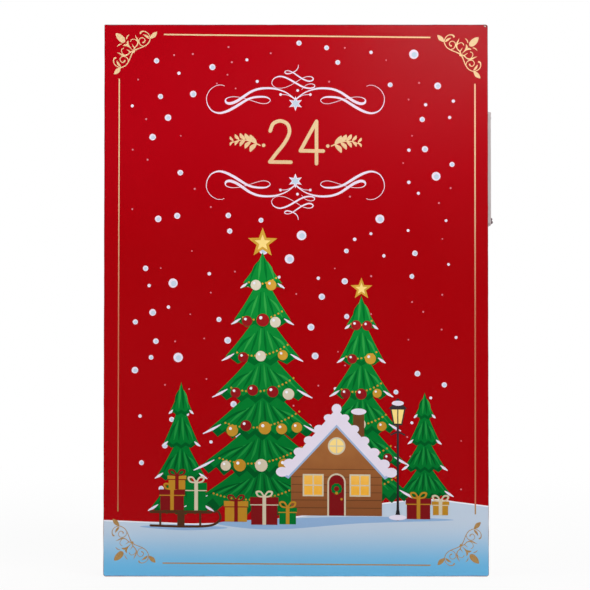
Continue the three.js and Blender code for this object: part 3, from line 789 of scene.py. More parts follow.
@dataclass(frozen=True)
class SandedPly(Finish):
    """Birch plywood, sawn and sanded: pale faces with a fine grain, and striped edges."""

    across: str = "Z"

    def shade(self, tree: Tree) -> dict[str, object]:
        """The plies change along the board's thickness, so the faces are plain and the edges striped."""
        # Grain lines about 1.2 mm apart along the board.
        grain = Patches(1.2, (0.06, 1.0, 0.5), 4.0)
        dark, pale = grain.colour(tree, "#c49f6b", "#d2b07c"), grain.colour(tree, "#d8bb8c", "#e6cfa6")
        return {
            "Base Color": Plies(self.across).colour(tree, dark, pale),
            "Roughness": 0.66,
            "Normal": grain.relief(tree, 0.03),
        }


@dataclass(frozen=True)
class LampLens(Finish):
    """Clear epoxy, cast round a warm white diode: a glowing bead, brighter towards its tip."""

    def shade(self, tree: Tree) -> dict[str, object]:
        """Glows through a clear skin."""
        return {
            "Base Color": Patches(2.0).colour(tree, "#ffe9bf", "#fff3d6"),
            "Emission Color": Fade(11.0, 2.0, "Y").colour(tree, "#ffb050", "#ffd892"),
            "Emission Strength": 6.0,
            "Roughness": 0.15,
            "IOR": 1.5,
        }


@dataclass(frozen=True)
class ShrunkSleeve(Finish):
    """PVC film, shrunk round a cell: glossy slate blue with scuffs, and a plain pale band at one end."""

    parting: float
    end: float

    def shade(self, tree: Tree) -> dict[str, object]:
        """Two plain tones with a sharp line between them."""
        scuffs = Patches(3.0, detail=4.0)
        blue, pale = scuffs.colour(tree, "#3d5468", "#486279"), scuffs.colour(tree, "#c6c9c8", "#d6d8d6")
        return {
            "Base Color": Fade(self.parting, self.end).colour(tree, blue, pale),
            "Metallic": 0.2,
            "Roughness": 0.28,
            "IOR": 1.53,
        }


# The inks. Each has its tone at the head and at the foot, the heights of these two, the width of its
# patches, its roughness, and how far the patches go towards the foot's tone.
PRINT_RED = PrintedPaper("art_paper_printed_red_and_varnished")
FOIL = GoldFoil("gold_foil_hot_stamped")
WHITE_INK = PrintedInk("ink_white_printed", "#f3e4f4", "#e6deee", 20.0, 330.0)
SNOW_FAINT_INK = PrintedInk("ink_pink_tint_printed", "#dc8290", "#d67884", 20.0, 330.0)
SNOW_CORE_INK = PrintedInk("ink_pale_blue_printed", "#c9d7e8", "#c2d2e6", 20.0, 330.0)
SNOW_GROUND_INK = PrintedInk("ink_snow_printed_in_tones", "#c1d0e1", "#6bb7e2", 4.0, 42.0, 40.0)
CREST_INK = PrintedInk("ink_snow_crest_printed", "#f0eff7", "#dfe3f0", 20.0, 60.0)
FIR_DARK_INK = PrintedInk("ink_fir_green_printed", "#00772c", "#005523", 50.0, 240.0, 14.0)
FIR_LIGHT_INK = PrintedInk("ink_fir_light_green_printed", "#0f8f37", "#00702b", 50.0, 240.0, 12.0)
FIR_BRIGHT_INK = PrintedInk("ink_fir_bright_green_printed", "#35ab4c", "#14893a", 50.0, 240.0, 9.0)
GOLD_INK = PrintedInk("ink_gold_yellow_printed", "#e3b040", "#b98421", 40.0, 240.0, 5.0, 0.4, 0.5)
RED_INK = PrintedInk("ink_bauble_red_printed", "#b3161c", "#7c0a0f", 40.0, 240.0, 5.0, 0.4, 0.6)
CREAM_INK = PrintedInk("ink_cream_printed", "#e8e0cc", "#cfc3a8", 40.0, 240.0, 8.0, 0.4, 0.4)
BARK_INK = PrintedInk("ink_bark_brown_printed", "#7a4a26", "#4c2b16", 30.0, 110.0, 8.0, 0.4, 0.5)
STONE_INK = PrintedInk("ink_charcoal_printed", "#3b3338", "#1f1a1e", 30.0, 130.0, 6.0, 0.4, 0.4)
SHADE_INK = PrintedInk("ink_snow_shadow_printed", "#a9b9d8", "#8fb0d6", 20.0, 130.0, 9.0, 0.4, 0.5)
GLOW_INK = PrintedInk("ink_window_glow_printed", "#ffe08a", "#f5b23c", 60.0, 100.0, 5.0)
WALL_INK = PrintedInk("ink_timber_wall_printed", "#b5763f", "#8a5029", 48.0, 120.0, 8.0, 0.4, 0.4)

# Bare board, where the cover is worn and at the back.
CHIP_PALE = PressedHardboard("board_fibre_chipped", "#ecdcd6", "#dcc6bf")
RUBBED_EDGE = PressedHardboard("board_edge_rubbed", "#a03848", "#6a2634")
TORN_EDGE = PressedHardboard("board_edge_torn_dark", "#4a1c22", "#35141a")
BARE_BOARD = PressedHardboard("hardboard_pressed_bare", "#b58a5a", "#9a6f44")

# The case, the rack and the drawers.
RED_PAINT = SprayedPaint("fibreboard_sprayed_satin_red", "#a3101b", "#8d0c16", 0.42)
EDGE_PAINT = SprayedPaint("fibreboard_edge_sprayed_dark_red", "#6d0b14", "#640a12", 0.5)
LINING = SprayedPaint("fibreboard_inside_sprayed_red", "#a3121e", "#98101b", 0.5)
PLY_SHELF = SandedPly("birch_ply_sanded_shelf")
PLY_DIVIDER = SandedPly("birch_ply_sanded_divider", "X")
DRAWER_RED = SprayedPaint("drawer_front_sprayed_red", "#b32430", "#9c1b27", 0.45)
DRAWER_GREEN = SprayedPaint("drawer_front_sprayed_green", "#2f6d43", "#245a36", 0.45)
BEECH_KNOB = SandedPly("beech_turned_and_oiled", "Y")

# The lit scene.
SKY = NightSky("fibreboard_sprayed_night_sky")
SNOW_PAINT = BrushedPaint("birch_brushed_snow_white", "#edeef2", "#d9dfea")
FIR_PAINT = BrushedPaint("birch_brushed_fir_green", "#1f6f3c", "#155230")
CREAM_PAINT = BrushedPaint("birch_brushed_cream", "#eadfc8", "#d8cbae")
GOLD_PAINT = BrushedPaint("birch_brushed_gold", "#d9a93f", "#b9862b")
BRICK_PAINT = BrushedPaint("birch_brushed_brick_red", "#b5453a", "#98362d")
OCHRE_PAINT = BrushedPaint("birch_brushed_ochre", "#dca64c", "#c48e38")
BLUE_PAINT = BrushedPaint("birch_brushed_pale_blue", "#8fb2cf", "#7a9fbf")
BARK_PAINT = BrushedPaint("birch_brushed_brown", "#6e452a", "#56341e")
LAMP = LampLens("epoxy_cast_round_warm_diode")
WIRE = WireSleeve("pvc_extruded_round_wire", "#2c5a35", "#244a2b", 0.48)

# The power and the ironmongery. The second cell stands the other way up.
BRASS = StampedMetal("brass_stamped", "#c79b45", "#a67d34", 0.34)
STEEL = StampedMetal("steel_nickel_plated", "#b9bbbd", "#9fa1a4", 0.3)
PALE_ABS = MouldedPlastic("abs_moulded_pale_grey", "#d8d3d3", "#ccc8c8", 0.42)
DARK_ABS = MouldedPlastic("abs_moulded_dark_brown", "#6e5259", "#573f47", 0.5)
CELL_SLEEVE = ShrunkSleeve("pvc_film_shrunk_on_cell", 327.6, 328.0)
CELL_SLEEVE_TURNED = ShrunkSleeve("pvc_film_shrunk_on_cell_turned", 292.7, 292.3)


# Pieces

# How far an edge turns before it stays sharp, and before it is rounded.
SHARP_ANGLE = math.radians(35)
ROUNDED_ANGLE = math.radians(32)


def cad_box(node: str) -> tuple[Spot, Spot]:
    """A CAD node's lowest and highest corner, in millimetres."""
    low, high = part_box(node)
    return tuple(v / MM for v in low), tuple(v / MM for v in high)


def add_piece(
    name: str, shape: Draft | bpy.types.Mesh, finishes: Finish | Sequence[Finish],
    body: str = "case", edge: float = 0.0,
) -> bpy.types.Object:
    """Places one piece on its body.

    Args:
        name: The piece's name.
        shape: Its solids or its mesh, in place.
        finishes: Its finish, or one for each of the shape's coats.
        body: The body that carries it.
        edge: The width of its rounded edges in millimetres.

    Returns:
        The object.
    """
    mesh = shape.mesh(name) if isinstance(shape, Draft) else shape
    piece = bpy.data.objects.new(name, mesh)
    bpy.context.scene.collection.objects.link(piece)
    # Clearing the materials also clears the faces' coats, so they are put back afterwards.
    coats = [face.material_index for face in mesh.polygons]
    mesh.materials.clear()
    for finish in [finishes] if isinstance(finishes, Finish) else finishes:
        mesh.materials.append(finish.material())
    mesh.polygons.foreach_set("material_index", coats)
    mesh.shade_smooth()
    mesh.set_sharp_from_angle(angle=SHARP_ANGLE)
    if edge > 0:
        rounding = piece.modifiers.new("rounded_edges", "BEVEL")
        rounding.width = edge * MM
        rounding.segments = 2
        rounding.limit_method = "ANGLE"
        rounding.angle_limit = ROUNDED_ANGLE
        rounding.harden_normals = True
    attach(piece, body)
    log.info("%s on %s, %d faces", name, body, len(mesh.polygons))
    return piece


def stand_in(
    node: str, name: str, shape: Draft | bpy.types.Mesh, finishes: Finish | Sequence[Finish],
    edge: float = 0.0,
) -> None:
    """Places the piece that stands for a CAD node on the node's body, and hides the node.

    Args:
        node: The CAD node.
        name: The piece's name.
        shape: Its solids or its mesh, in place.
        finishes: Its finish, or one for each of the shape's coats.
        edge: The width of its rounded edges in millimetres.
    """
    piece = add_piece(name, shape, finishes, BODY_OF[node], edge)
    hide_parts(node)


def softened(node: str, finish: Finish, edge: float) -> None:
    """Dresses a copy of a CAD node, with rounded edges and its own finish.

    Args:
        node: The CAD node.
        finish: The copy's finish.
        edge: The width of the rounded edges in millimetres.
    """
    draft = bmesh.new()
    draft.from_mesh(frame["nodes"][node].data)
    # Corners within a thousandth of a millimetre become one, and flat neighbours become one face.
    bmesh.ops.remove_doubles(draft, verts=draft.verts, dist=0.001 * MM)
    flat = math.radians(0.5)
    bmesh.ops.dissolve_limit(draft, angle_limit=flat, verts=draft.verts, edges=draft.edges)
    mesh = bpy.data.meshes.new(f"{node}_dressed")
    draft.to_mesh(mesh)
    draft.free()
    stand_in(node, mesh.name, mesh, finish, edge)


# The cover and its print


@dataclass
class Cover:
    """The hinged cover: a painted board, the sheet glued on it and everything printed on the sheet."""

    half_width: float = 140.0
    foot: float = 0.5
    head: float = 402.5
    lower_radius: float = 2.0
    left_radius: float = 0.7
    right_radius: float = 1.7
    board_front: float = -32.3
    board_back: float = -26.7
    sheet_face: float = -32.5
    sheet_back: float = -32.4
    hole_radius: float = 2.2

    # A print's own thickness over the last one, and how deep it reaches into the sheet.
    layer_step: float = 0.0043
    layer_root: float = 0.005

    # The sheet is glued on askew and a little stretched: how far its middle is off, how it leans with
    # the height, and how it falls with the way across, a little more towards the head.
    shift: Point = (0.57, 1.3)
    lean: float = 0.0012
    fall: float = 0.00967
    fall_growth: float = 0.0000078

    # The torn rim and the pale fibre of the worn corner.
    torn: tuple[Point, ...] = (
        (-1.1, 0.9), (-0.2, 1.35), (0.75, 1.05), (1.3, 0.1), (0.9, -0.55), (0.2, -0.1), (-0.7, 0.15),
    )
    bare: tuple[Point, ...] = (
        (-0.75, 0.6), (-0.05, 0.95), (0.6, 0.55), (0.75, -0.1), (0.2, 0.05), (-0.4, 0.25),
    )

    @property
    def middle(self) -> float:
        """The height of the cover's middle."""
        return (self.foot + self.head) / 2

    def outline(self, inset: float, wander: float, seed: int) -> Loop:
        """The cover's outline, slightly uneven, with its upper right corner worn round.

        Args:
            inset: How far it lies inside the cover's size.
            wander: How far its edge wanders inward.
            seed: The seed of its unevenness.

        Returns:
            The outline's corners.
        """
        dice = random.Random(seed)
        left, right = -self.half_width + inset, self.half_width - inset
        foot, head = self.foot + inset, self.head - inset
        low, worn, keen = self.lower_radius, self.right_radius, self.left_radius
        rounds = [
            arc(left + low, foot + low, low, 180, 270), arc(right - low, foot + low, low, 270, 360),
            arc(right - worn, head - worn, worn, 0, 90), arc(left + keen, head - keen, keen, 90, 180),
        ]
        points: Loop = []
        inward = ((0, 1), (-1, 0), (0, -1), (1, 0))
        for corner, following, (across, up) in zip(rounds, rounds[1:] + rounds[:1], inward):
            (ax, az), (bx, bz) = corner[-1], following[0]
            points += corner
            # The straight edge has a point about every 6 mm.
            count = round(math.dist((ax, az), (bx, bz)) / 6)
            for k in range(1, count):
                t, slip = k / count, dice.random() * wander
                points.append((ax + (bx - ax) * t + across * slip, az + (bz - az) * t + up * slip))
        return points

    def lay(
        self, name: str, parts: Iterable[tuple[Iterable[Loop], Iterable[Loop]]], finish: Finish, layer: int
    ) -> None:
        """Lays a film on the sheet.

        Args:
            name: The film's name.
            parts: Each part's outlines, and the outlines that cover it.
            finish: Its finish.
            layer: How many layers high it is.
        """
        draft = Draft()
        for outlines, above in parts:
            front = self.sheet_face - self.layer_step * layer
            draft.plate(outlines, front, self.sheet_face + self.layer_root, above)
        add_piece(name, draft, finish, "cover")

    def settled(self, outlines: Iterable[Sequence[Point]]) -> list[Loop]:
        """Outlines round the print's middle, as they lie on the board."""
        left, rise = self.shift[0], self.shift[1] + self.middle
        return [
            [(left + x + self.lean * z, rise + z - (self.fall + self.fall_growth * z) * x) for x, z in loop]
            for loop in outlines
        ]

    def ink_parts(
        self, name: str, parts: Iterable[tuple[list[Loop], list[Loop]]], finish: Finish, order: int
    ) -> None:
        """Prints one colour of a motif whose parts lie over each other.

        Args:
            name: The motif's name.
            parts: Each part's outlines, and the outlines that cover it.
            finish: Its ink.
            order: Its place in the order of printing.
        """
        settled = [(self.settled(outlines), self.settled(above)) for outlines, above in parts]
        self.lay(f"print_{name}", settled, finish, order + 1)

    def ink(self, name: str, outlines: list[Loop], finish: Finish, order: int) -> None:
        """Prints one colour of one motif.

        Args:
            name: The motif's name.
            outlines: Its outlines, from the cover's middle.
            finish: Its ink.
            order: Its place in the order of printing.
        """
        self.ink_parts(name, [(outlines, [])], finish, order)

    def board(self) -> None:
        """The board, with a blind hole for its half of the catch in its back."""
        low, high = cad_box("cover_magnet")
        hole = disc((low[0] + high[0]) / 2, (low[2] + high[2]) / 2, self.hole_radius, 24)
        split = low[1] - 0.2
        outline = self.outline(0.0, 0.12, 7)
        board = Draft().plate([outline], self.board_front, split)
        board.coated(1).plate([outline], split, self.board_back, [hole])
        stand_in("front_cover", "cover_board", board, (EDGE_PAINT, LINING))

    def rub(self) -> None:
        """The rough line along the head where the sheet's edge is rubbed down to the dark board."""
        dice = random.Random(23)
        top = self.head - 0.05
        line = [(x, top - dice.uniform(0.25, 0.75)) for x in range(-138, 137, 3)]
        line += [(x + 1.0, top - dice.uniform(0.0, 0.1)) for x in range(136, -139, -6)]
        self.lay("cover_edge_rubbed", [([line], [])], RUBBED_EDGE, 1)

    def chip(self) -> None:
        """The worn upper right corner: pale fibre inside a dark torn rim."""
        x, z = self.half_width - self.right_radius - 0.4, self.head - self.right_radius
        for name, outline, finish, layer in (
            ("rim", self.torn, TORN_EDGE, 2), ("fibre", self.bare, CHIP_PALE, 3),
        ):
            self.lay(f"corner_chip_{name}", [(moved([leaf(outline, 0.25)], x, z), [])], finish, layer)

    def build(self) -> None:
        """Builds the board and its sheet, which is glued on a little short of the board's edge."""
        self.board()
        sheet = Draft().plate([self.outline(0.22, 0.18, 11)], self.sheet_face, self.sheet_back)
        stand_in("cover_print", "print_sheet", sheet, PRINT_RED)
        self.rub()
        self.chip()


@dataclass
class Border:
    """The print's gold border: four lines between four scrolled corners."""

    cover: Cover
    half_width: float = 134.8
    half_height: float = 194.2
    corner_inset: float = 0.8
    corner_scale: float = 0.965
    upper_weight: float = 0.88
    lower_weight: float = 0.68

    # The left side, foot, right side and top of each line.
    lines: tuple[tuple[float, ...], ...] = (
        (-97.3, 190.8, 97.3, 191.8), (-97.3, -193.8, 97.3, -192.9), (-130.225, -156.2, -129.375, 158.6),
        (129.3, -156.2, 130.3, 157.7),
    )

    # Strokes and leaves of one half of a corner: distances from the corner's two sides, and widths.
    strokes: tuple[tuple[Spot, ...], ...] = (
        ((15.0, 14.8, 1.3), (18.4, 13.2, 0.85), (22.6, 11.5, 0.85), (25.8, 9.3, 0.85), (27.5, 5.9, 0.8),
         (27.2, 3.6, 0.75), (26.0, 1.5, 0.7), (24.1, 0.2, 0.75), (22.2, 0.0, 0.95), (20.7, 0.5, 1.3),
         (20.3, 1.4, 1.6)),
        ((22.7, 11.2, 0.6), (20.5, 10.4, 0.7), (19.2, 8.3, 0.8), (19.3, 6.2, 0.7), (20.8, 4.9, 0.65),
         (22.6, 5.1, 0.7), (23.7, 6.5, 0.75), (23.3, 7.9, 1.0), (22.3, 8.4, 1.4)),
        ((15.2, 13.9, 0.9), (16.0, 12.3, 0.95), (17.5, 10.8, 0.95), (18.3, 8.7, 1.3), (17.9, 6.4, 1.4),
         (16.9, 4.3, 0.8), (16.3, 2.8, 0.2)),
        ((18.1, 8.0, 0.45), (16.6, 6.5, 0.6), (14.7, 5.9, 0.6), (13.3, 6.6, 0.65), (12.9, 7.6, 0.8)),
        ((15.9, 12.7, 1.0), (14.7, 11.3, 0.7), (13.9, 9.9, 0.25)),
        ((9.7, 5.9, 0.6), (10.2, 4.2, 1.0), (11.6, 2.7, 0.4)),
    )
    leaves: tuple[tuple[Point, ...], ...] = (
        ((27.8, 5.5), (27.7, 4.2), (28.5, 2.4), (30.1, 1.0), (32.7, 0.3), (32.5, 2.0), (31.7, 3.8),
         (30.1, 4.8)),
        ((26.9, 5.5), (25.0, 4.8), (23.6, 3.6), (22.4, 2.3), (24.5, 2.6), (26.1, 3.6)),
        ((15.2, 15.2), (14.5, 14.4), (12.2, 11.5), (11.3, 9.4), (11.0, 7.1), (9.8, 8.8), (10.2, 10.2)),
        ((1.7, 1.7), (4.4, 2.0), (6.8, 3.5), (8.5, 5.6), (8.8, 7.2), (8.1, 8.3), (5.0, 5.2)),
    )

    def corner(self, weight: float) -> list[Loop]:
        """One scrolled corner.

        Args:
            weight: The strokes' width as a share of the drawn one.

        Returns:
            Its outlines, by the distances from its two sides.
        """
        parts = [leaf(outline, 0.5) for outline in self.leaves]
        for line in self.strokes:
            parts += pen([(a, b, weight * width) for a, b, width in line], 0.5)
        parts += [[(b, a) for a, b in part] for part in parts] + [disc(15.2, 15.2, 1.0)]
        return moved(parts, self.corner_inset, self.corner_inset, self.corner_scale)

    def build(self) -> None:
        """Stamps the corners and the lines in foil."""
        for name, across, up, weight in (
            ("upper_left", -1, 1, self.upper_weight), ("upper_right", 1, 1, self.upper_weight),
            ("lower_left", -1, -1, self.lower_weight), ("lower_right", 1, -1, self.lower_weight),
        ):
            x, z = across * self.half_width, up * self.half_height
            parts = [[(x - across * a, z - up * b) for a, b in part] for part in self.corner(weight)]
            self.cover.ink(f"scroll_{name}", parts, FOIL, 2)
        self.cover.ink("border_lines", [rectangle(*line) for line in self.lines], FOIL, 2)


@dataclass
class Flourish:
    """The two white penned flourishes with a six-pointed star in each."""

    cover: Cover
    across: float = -1.2
    upper: float = 141.8
    lower: float = 85.2
    breadth: float = 0.988

    # The print's ornament is level, though the sheet's border isn't.
    lean: float = 0.009

    sweep: tuple[Spot, ...] = (
        (-52.5, 12.8, 0.32), (-54.6, 13.5, 0.34), (-58.3, 13.1, 0.36), (-62.5, 10.5, 0.4), (-65.0, 6.8, 0.42),
        (-65.7, 3.5, 0.5), (-64.8, -1.1, 0.6), (-61.6, -5.3, 0.85), (-56.4, -7.0, 1.3), (-50.9, -5.8, 1.75),
        (-45.3, -3.0, 1.9), (-40.7, -0.2, 1.85), (-36.0, 2.6, 1.6), (-31.4, 4.3, 1.5), (-25.8, 4.9, 1.35),
        (-21.2, 4.5, 1.0), (-18.6, 2.6, 0.5), (-20.2, 0.5, 0.42), (-24.0, -0.1, 0.4), (-28.6, 0.9, 0.36),
        (-33.2, 2.4, 0.34), (-38.8, 4.0, 0.34), (-44.4, 4.9, 0.4), (-49.0, 4.5, 0.5), (-51.6, 2.9, 0.75),
        (-51.1, 0.7, 1.6), (-48.1, 0.0, 1.95), (-43.4, 1.7, 2.0), (-38.8, 4.7, 1.9), (-33.2, 8.4, 1.7),
        (-27.7, 10.5, 1.6), (-22.1, 11.2, 1.5), (-16.5, 11.0, 1.35), (-11.9, 10.0, 1.0), (-7.2, 8.2, 0.8),
        (-3.5, 5.8, 0.75), (-0.7, 3.5, 0.7),
    )
    stalk: tuple[Spot, ...] = ((-10.0, 6.6, 0.42), (-6.3, 6.3, 0.42), (-3.1, 4.9, 0.45), (-1.2, 3.5, 0.5))
    ribbon: tuple[Spot, ...] = (
        (4.6, 10.3, 0.3), (7.6, 13.3, 0.32), (11.3, 14.5, 0.42), (14.1, 13.6, 0.6), (13.9, 12.2, 0.85),
        (11.8, 11.3, 1.05), (8.5, 11.4, 1.15), (5.3, 12.3, 1.2), (1.1, 14.5, 1.25), (-3.5, 17.2, 1.25),
        (-8.2, 19.3, 1.15), (-12.3, 19.8, 0.95), (-16.1, 18.1, 0.6), (-17.5, 15.1, 0.42), (-16.3, 12.8, 0.36),
        (-13.7, 11.4, 0.32), (-9.1, 11.4, 0.32), (-4.5, 13.0, 0.32), (0.2, 15.6, 0.32), (4.8, 18.4, 0.36),
        (8.5, 19.7, 0.45), (11.8, 19.5, 0.6), (13.2, 18.1, 0.85), (12.1, 16.8, 1.0), (9.5, 16.5, 1.05),
        (5.8, 17.8, 1.05), (2.0, 20.1, 0.95), (-1.2, 22.3, 0.75), (-4.5, 23.9, 0.55), (-7.1, 23.9, 0.55),
        (-7.9, 22.8, 0.75), (-6.3, 21.8, 0.85), (-3.1, 22.3, 0.75), (0.2, 24.0, 0.65), (1.9, 26.3, 0.55),
        (2.1, 28.3, 0.32),
    )

    def build(self) -> None:
        """Prints both flourishes, the lower one upside down."""
        side = pen(self.sweep) + pen(self.stalk) + [disc(-11.0, 6.6, 1.0)]
        whole = side + mirrored(side) + pen(self.ribbon) + [disc(1.6, 9.6, 1.0)]
        for name, middle, up in (("upper", self.upper, 1), ("lower", self.lower, -1)):
            parts = [
                [(self.across + self.breadth * x, middle + up * z + self.lean * x) for x, z in part]
                for part in whole
            ]
            self.cover.ink(f"flourish_{name}", parts, WHITE_INK, 1)
            for part, radius, ink, order in (
                ("star", 5.4, WHITE_INK, 2), ("star_core", 3.7, SNOW_CORE_INK, 3),
            ):
                self.cover.ink(f"{part}_{name}", [star(self.across, middle, radius, 6, 0.46)], ink, order)


@dataclass
class Title:
    """The gold figures between the flourishes, with a sprig on either side."""

    cover: Cover
    middle: float = -1.0
    foot: float = 98.0
    height: float = 31.0
    stroke: float = 2.6
    sprig_rise: float = 13.0
    leaf_pairs: int = 5
    stem: tuple[Spot, ...] = ((26.0, 0.0, 0.9), (33.0, 3.0, 0.9), (40.0, 3.6, 0.8), (48.0, 1.2, 0.5))

    def sprig(self) -> list[Loop]:
        """The right sprig, from its berry outwards: pairs of leaves that get shorter along the stem."""
        parts = pen(self.stem) + [disc(23.4, 0.0, 1.3)]
        for pair in range(self.leaf_pairs):
            way, reach = 0.12 + 0.19 * pair, 6.2 - 0.7 * pair
            x, z = 26 + 22 * way, 3.8 * math.sin(0.85 * math.pi * way) + 0.2
            for tall in (-reach, reach):
                tip = x + 0.75 * reach
                outline = [(x, z), (x + 0.8, z + 0.5 * tall + 0.2), (tip, z + tall), (tip, z + 0.35 * tall)]
                parts.append(leaf(outline, 0.5))
        return parts

    def build(self) -> None:
        """Stamps the number of days and the sprigs."""
        sprig = self.sprig()
        parts = figures("24", self.middle, self.foot, self.height, self.stroke)
        parts += moved(sprig + mirrored(sprig), self.middle, self.foot + self.sprig_rise)
        self.cover.ink("title_figures", parts, FOIL, 1)


@dataclass
class Snowfall:
    """Snow that falls all over the print's red ground."""

    cover: Cover
    count: int = 176
    tries: int = 20000
    spacing: float = 7.5

    # The share of all dots up to each size, and that size's least and largest radius.
    sizes: tuple[Spot, ...] = (
        (0.3, 0.5, 0.72), (0.5, 1.0, 1.3), (0.84, 1.7, 2.1), (0.94, 2.2, 2.5), (1.0, 3.1, 3.5),
    )

    def clear(self, x: float, z: float, radius: float) -> bool:
        """Whether a dot keeps off the corners and off the title with its flourishes."""
        off_corners = abs(x) < 122 - radius if abs(z) < 158 else abs(x) + abs(z) < 288 - radius
        across, up = abs(x + 1) - radius, abs(z - 113.5) - radius
        return off_corners and not (across < 69 and up < 36) and not (across < 21 and up < 60)

    def build(self) -> None:
        """Scatters dots of snow, the same on every run."""
        dice = random.Random(SEED)
        dots: list[Spot] = []
        for _ in range(self.tries):
            if len(dots) == self.count:
                break
            x, z = dice.uniform(-122, 122), dice.uniform(-142, 187)
            kind = dice.random()
            radius = dice.uniform(*next((least, most) for share, least, most in self.sizes if kind <= share))
            near = any(math.dist((x, z), dot[:2]) < self.spacing + radius + dot[2] for dot in dots)
            if self.clear(x, z, radius) and not near:
                dots.append((x, z, radius))
        for name, finish, least, most in (("faint", SNOW_FAINT_INK, 0.0, 0.8), ("fall", WHITE_INK, 0.8, 9.0)):
            flakes = [disc(x, z, r, 16) for x, z, r in dots if least < r <= most]
            self.cover.ink(f"snow_{name}", flakes, finish, 0)
        # The larger dots have a bluer core, a little towards the lower right.
        cores = [disc(x + 0.1 * r, z - 0.1 * r, 0.58 * r, 14) for x, z, r in dots if r > 1.5]
        self.cover.ink("snow_cores", cores, SNOW_CORE_INK, 1)


@dataclass
class SnowGround:
    """The snowy ground along the print's foot, and the thin bright line of its crest."""

    cover: Cover
    crest_width: float = 1.0
    crest: tuple[Point, ...] = (
        (-139.7, -160.0), (-99.0, -161.6), (-70.0, -162.5), (-30.0, -160.6), (10.0, -156.0), (50.0, -149.5),
        (80.0, -145.8), (100.0, -144.9), (119.4, -147.2), (139.7, -149.8),
    )

    def build(self) -> None:
        """Prints the ground down to the sheet's own edge."""
        line = [(x, z + self.cover.middle) for x, z in smooth(self.crest, 3.0)][::-1]
        rim = [point for point in self.cover.outline(0.25, 0.1, 11) if point[1] < 40]
        left = sorted((point for point in rim if point[0] < 0), key=lambda point: -point[1])
        right = sorted((point for point in rim if point[0] >= 0), key=lambda point: point[1])
        self.cover.lay("print_snow_ground", [([left + right + line], [])], SNOW_GROUND_INK, 1)
        stroke = line[::-1] + [(x, z - self.crest_width) for x, z in line]
        self.cover.lay("print_snow_crest", [([stroke], [])], CREST_INK, 2)


@dataclass
class Motif:
    """A motif of the printed picture, drawn round the middle of its foot, in colours over each other."""

    cover: Cover
    name: str
    order: int
    axis: float
    foot: float

    def ink(self, part: str, outlines: Iterable[Loop], finish: Finish, step: int) -> None:
        """Prints one colour.

        Args:
            part: What it shows.
            outlines: Its outlines.
            finish: Its ink.
            step: Its place above the motif's first colour.
        """
        placed = moved(outlines, self.axis, self.foot)
        self.cover.ink(f"{self.name}_{part}", placed, finish, self.order + step)


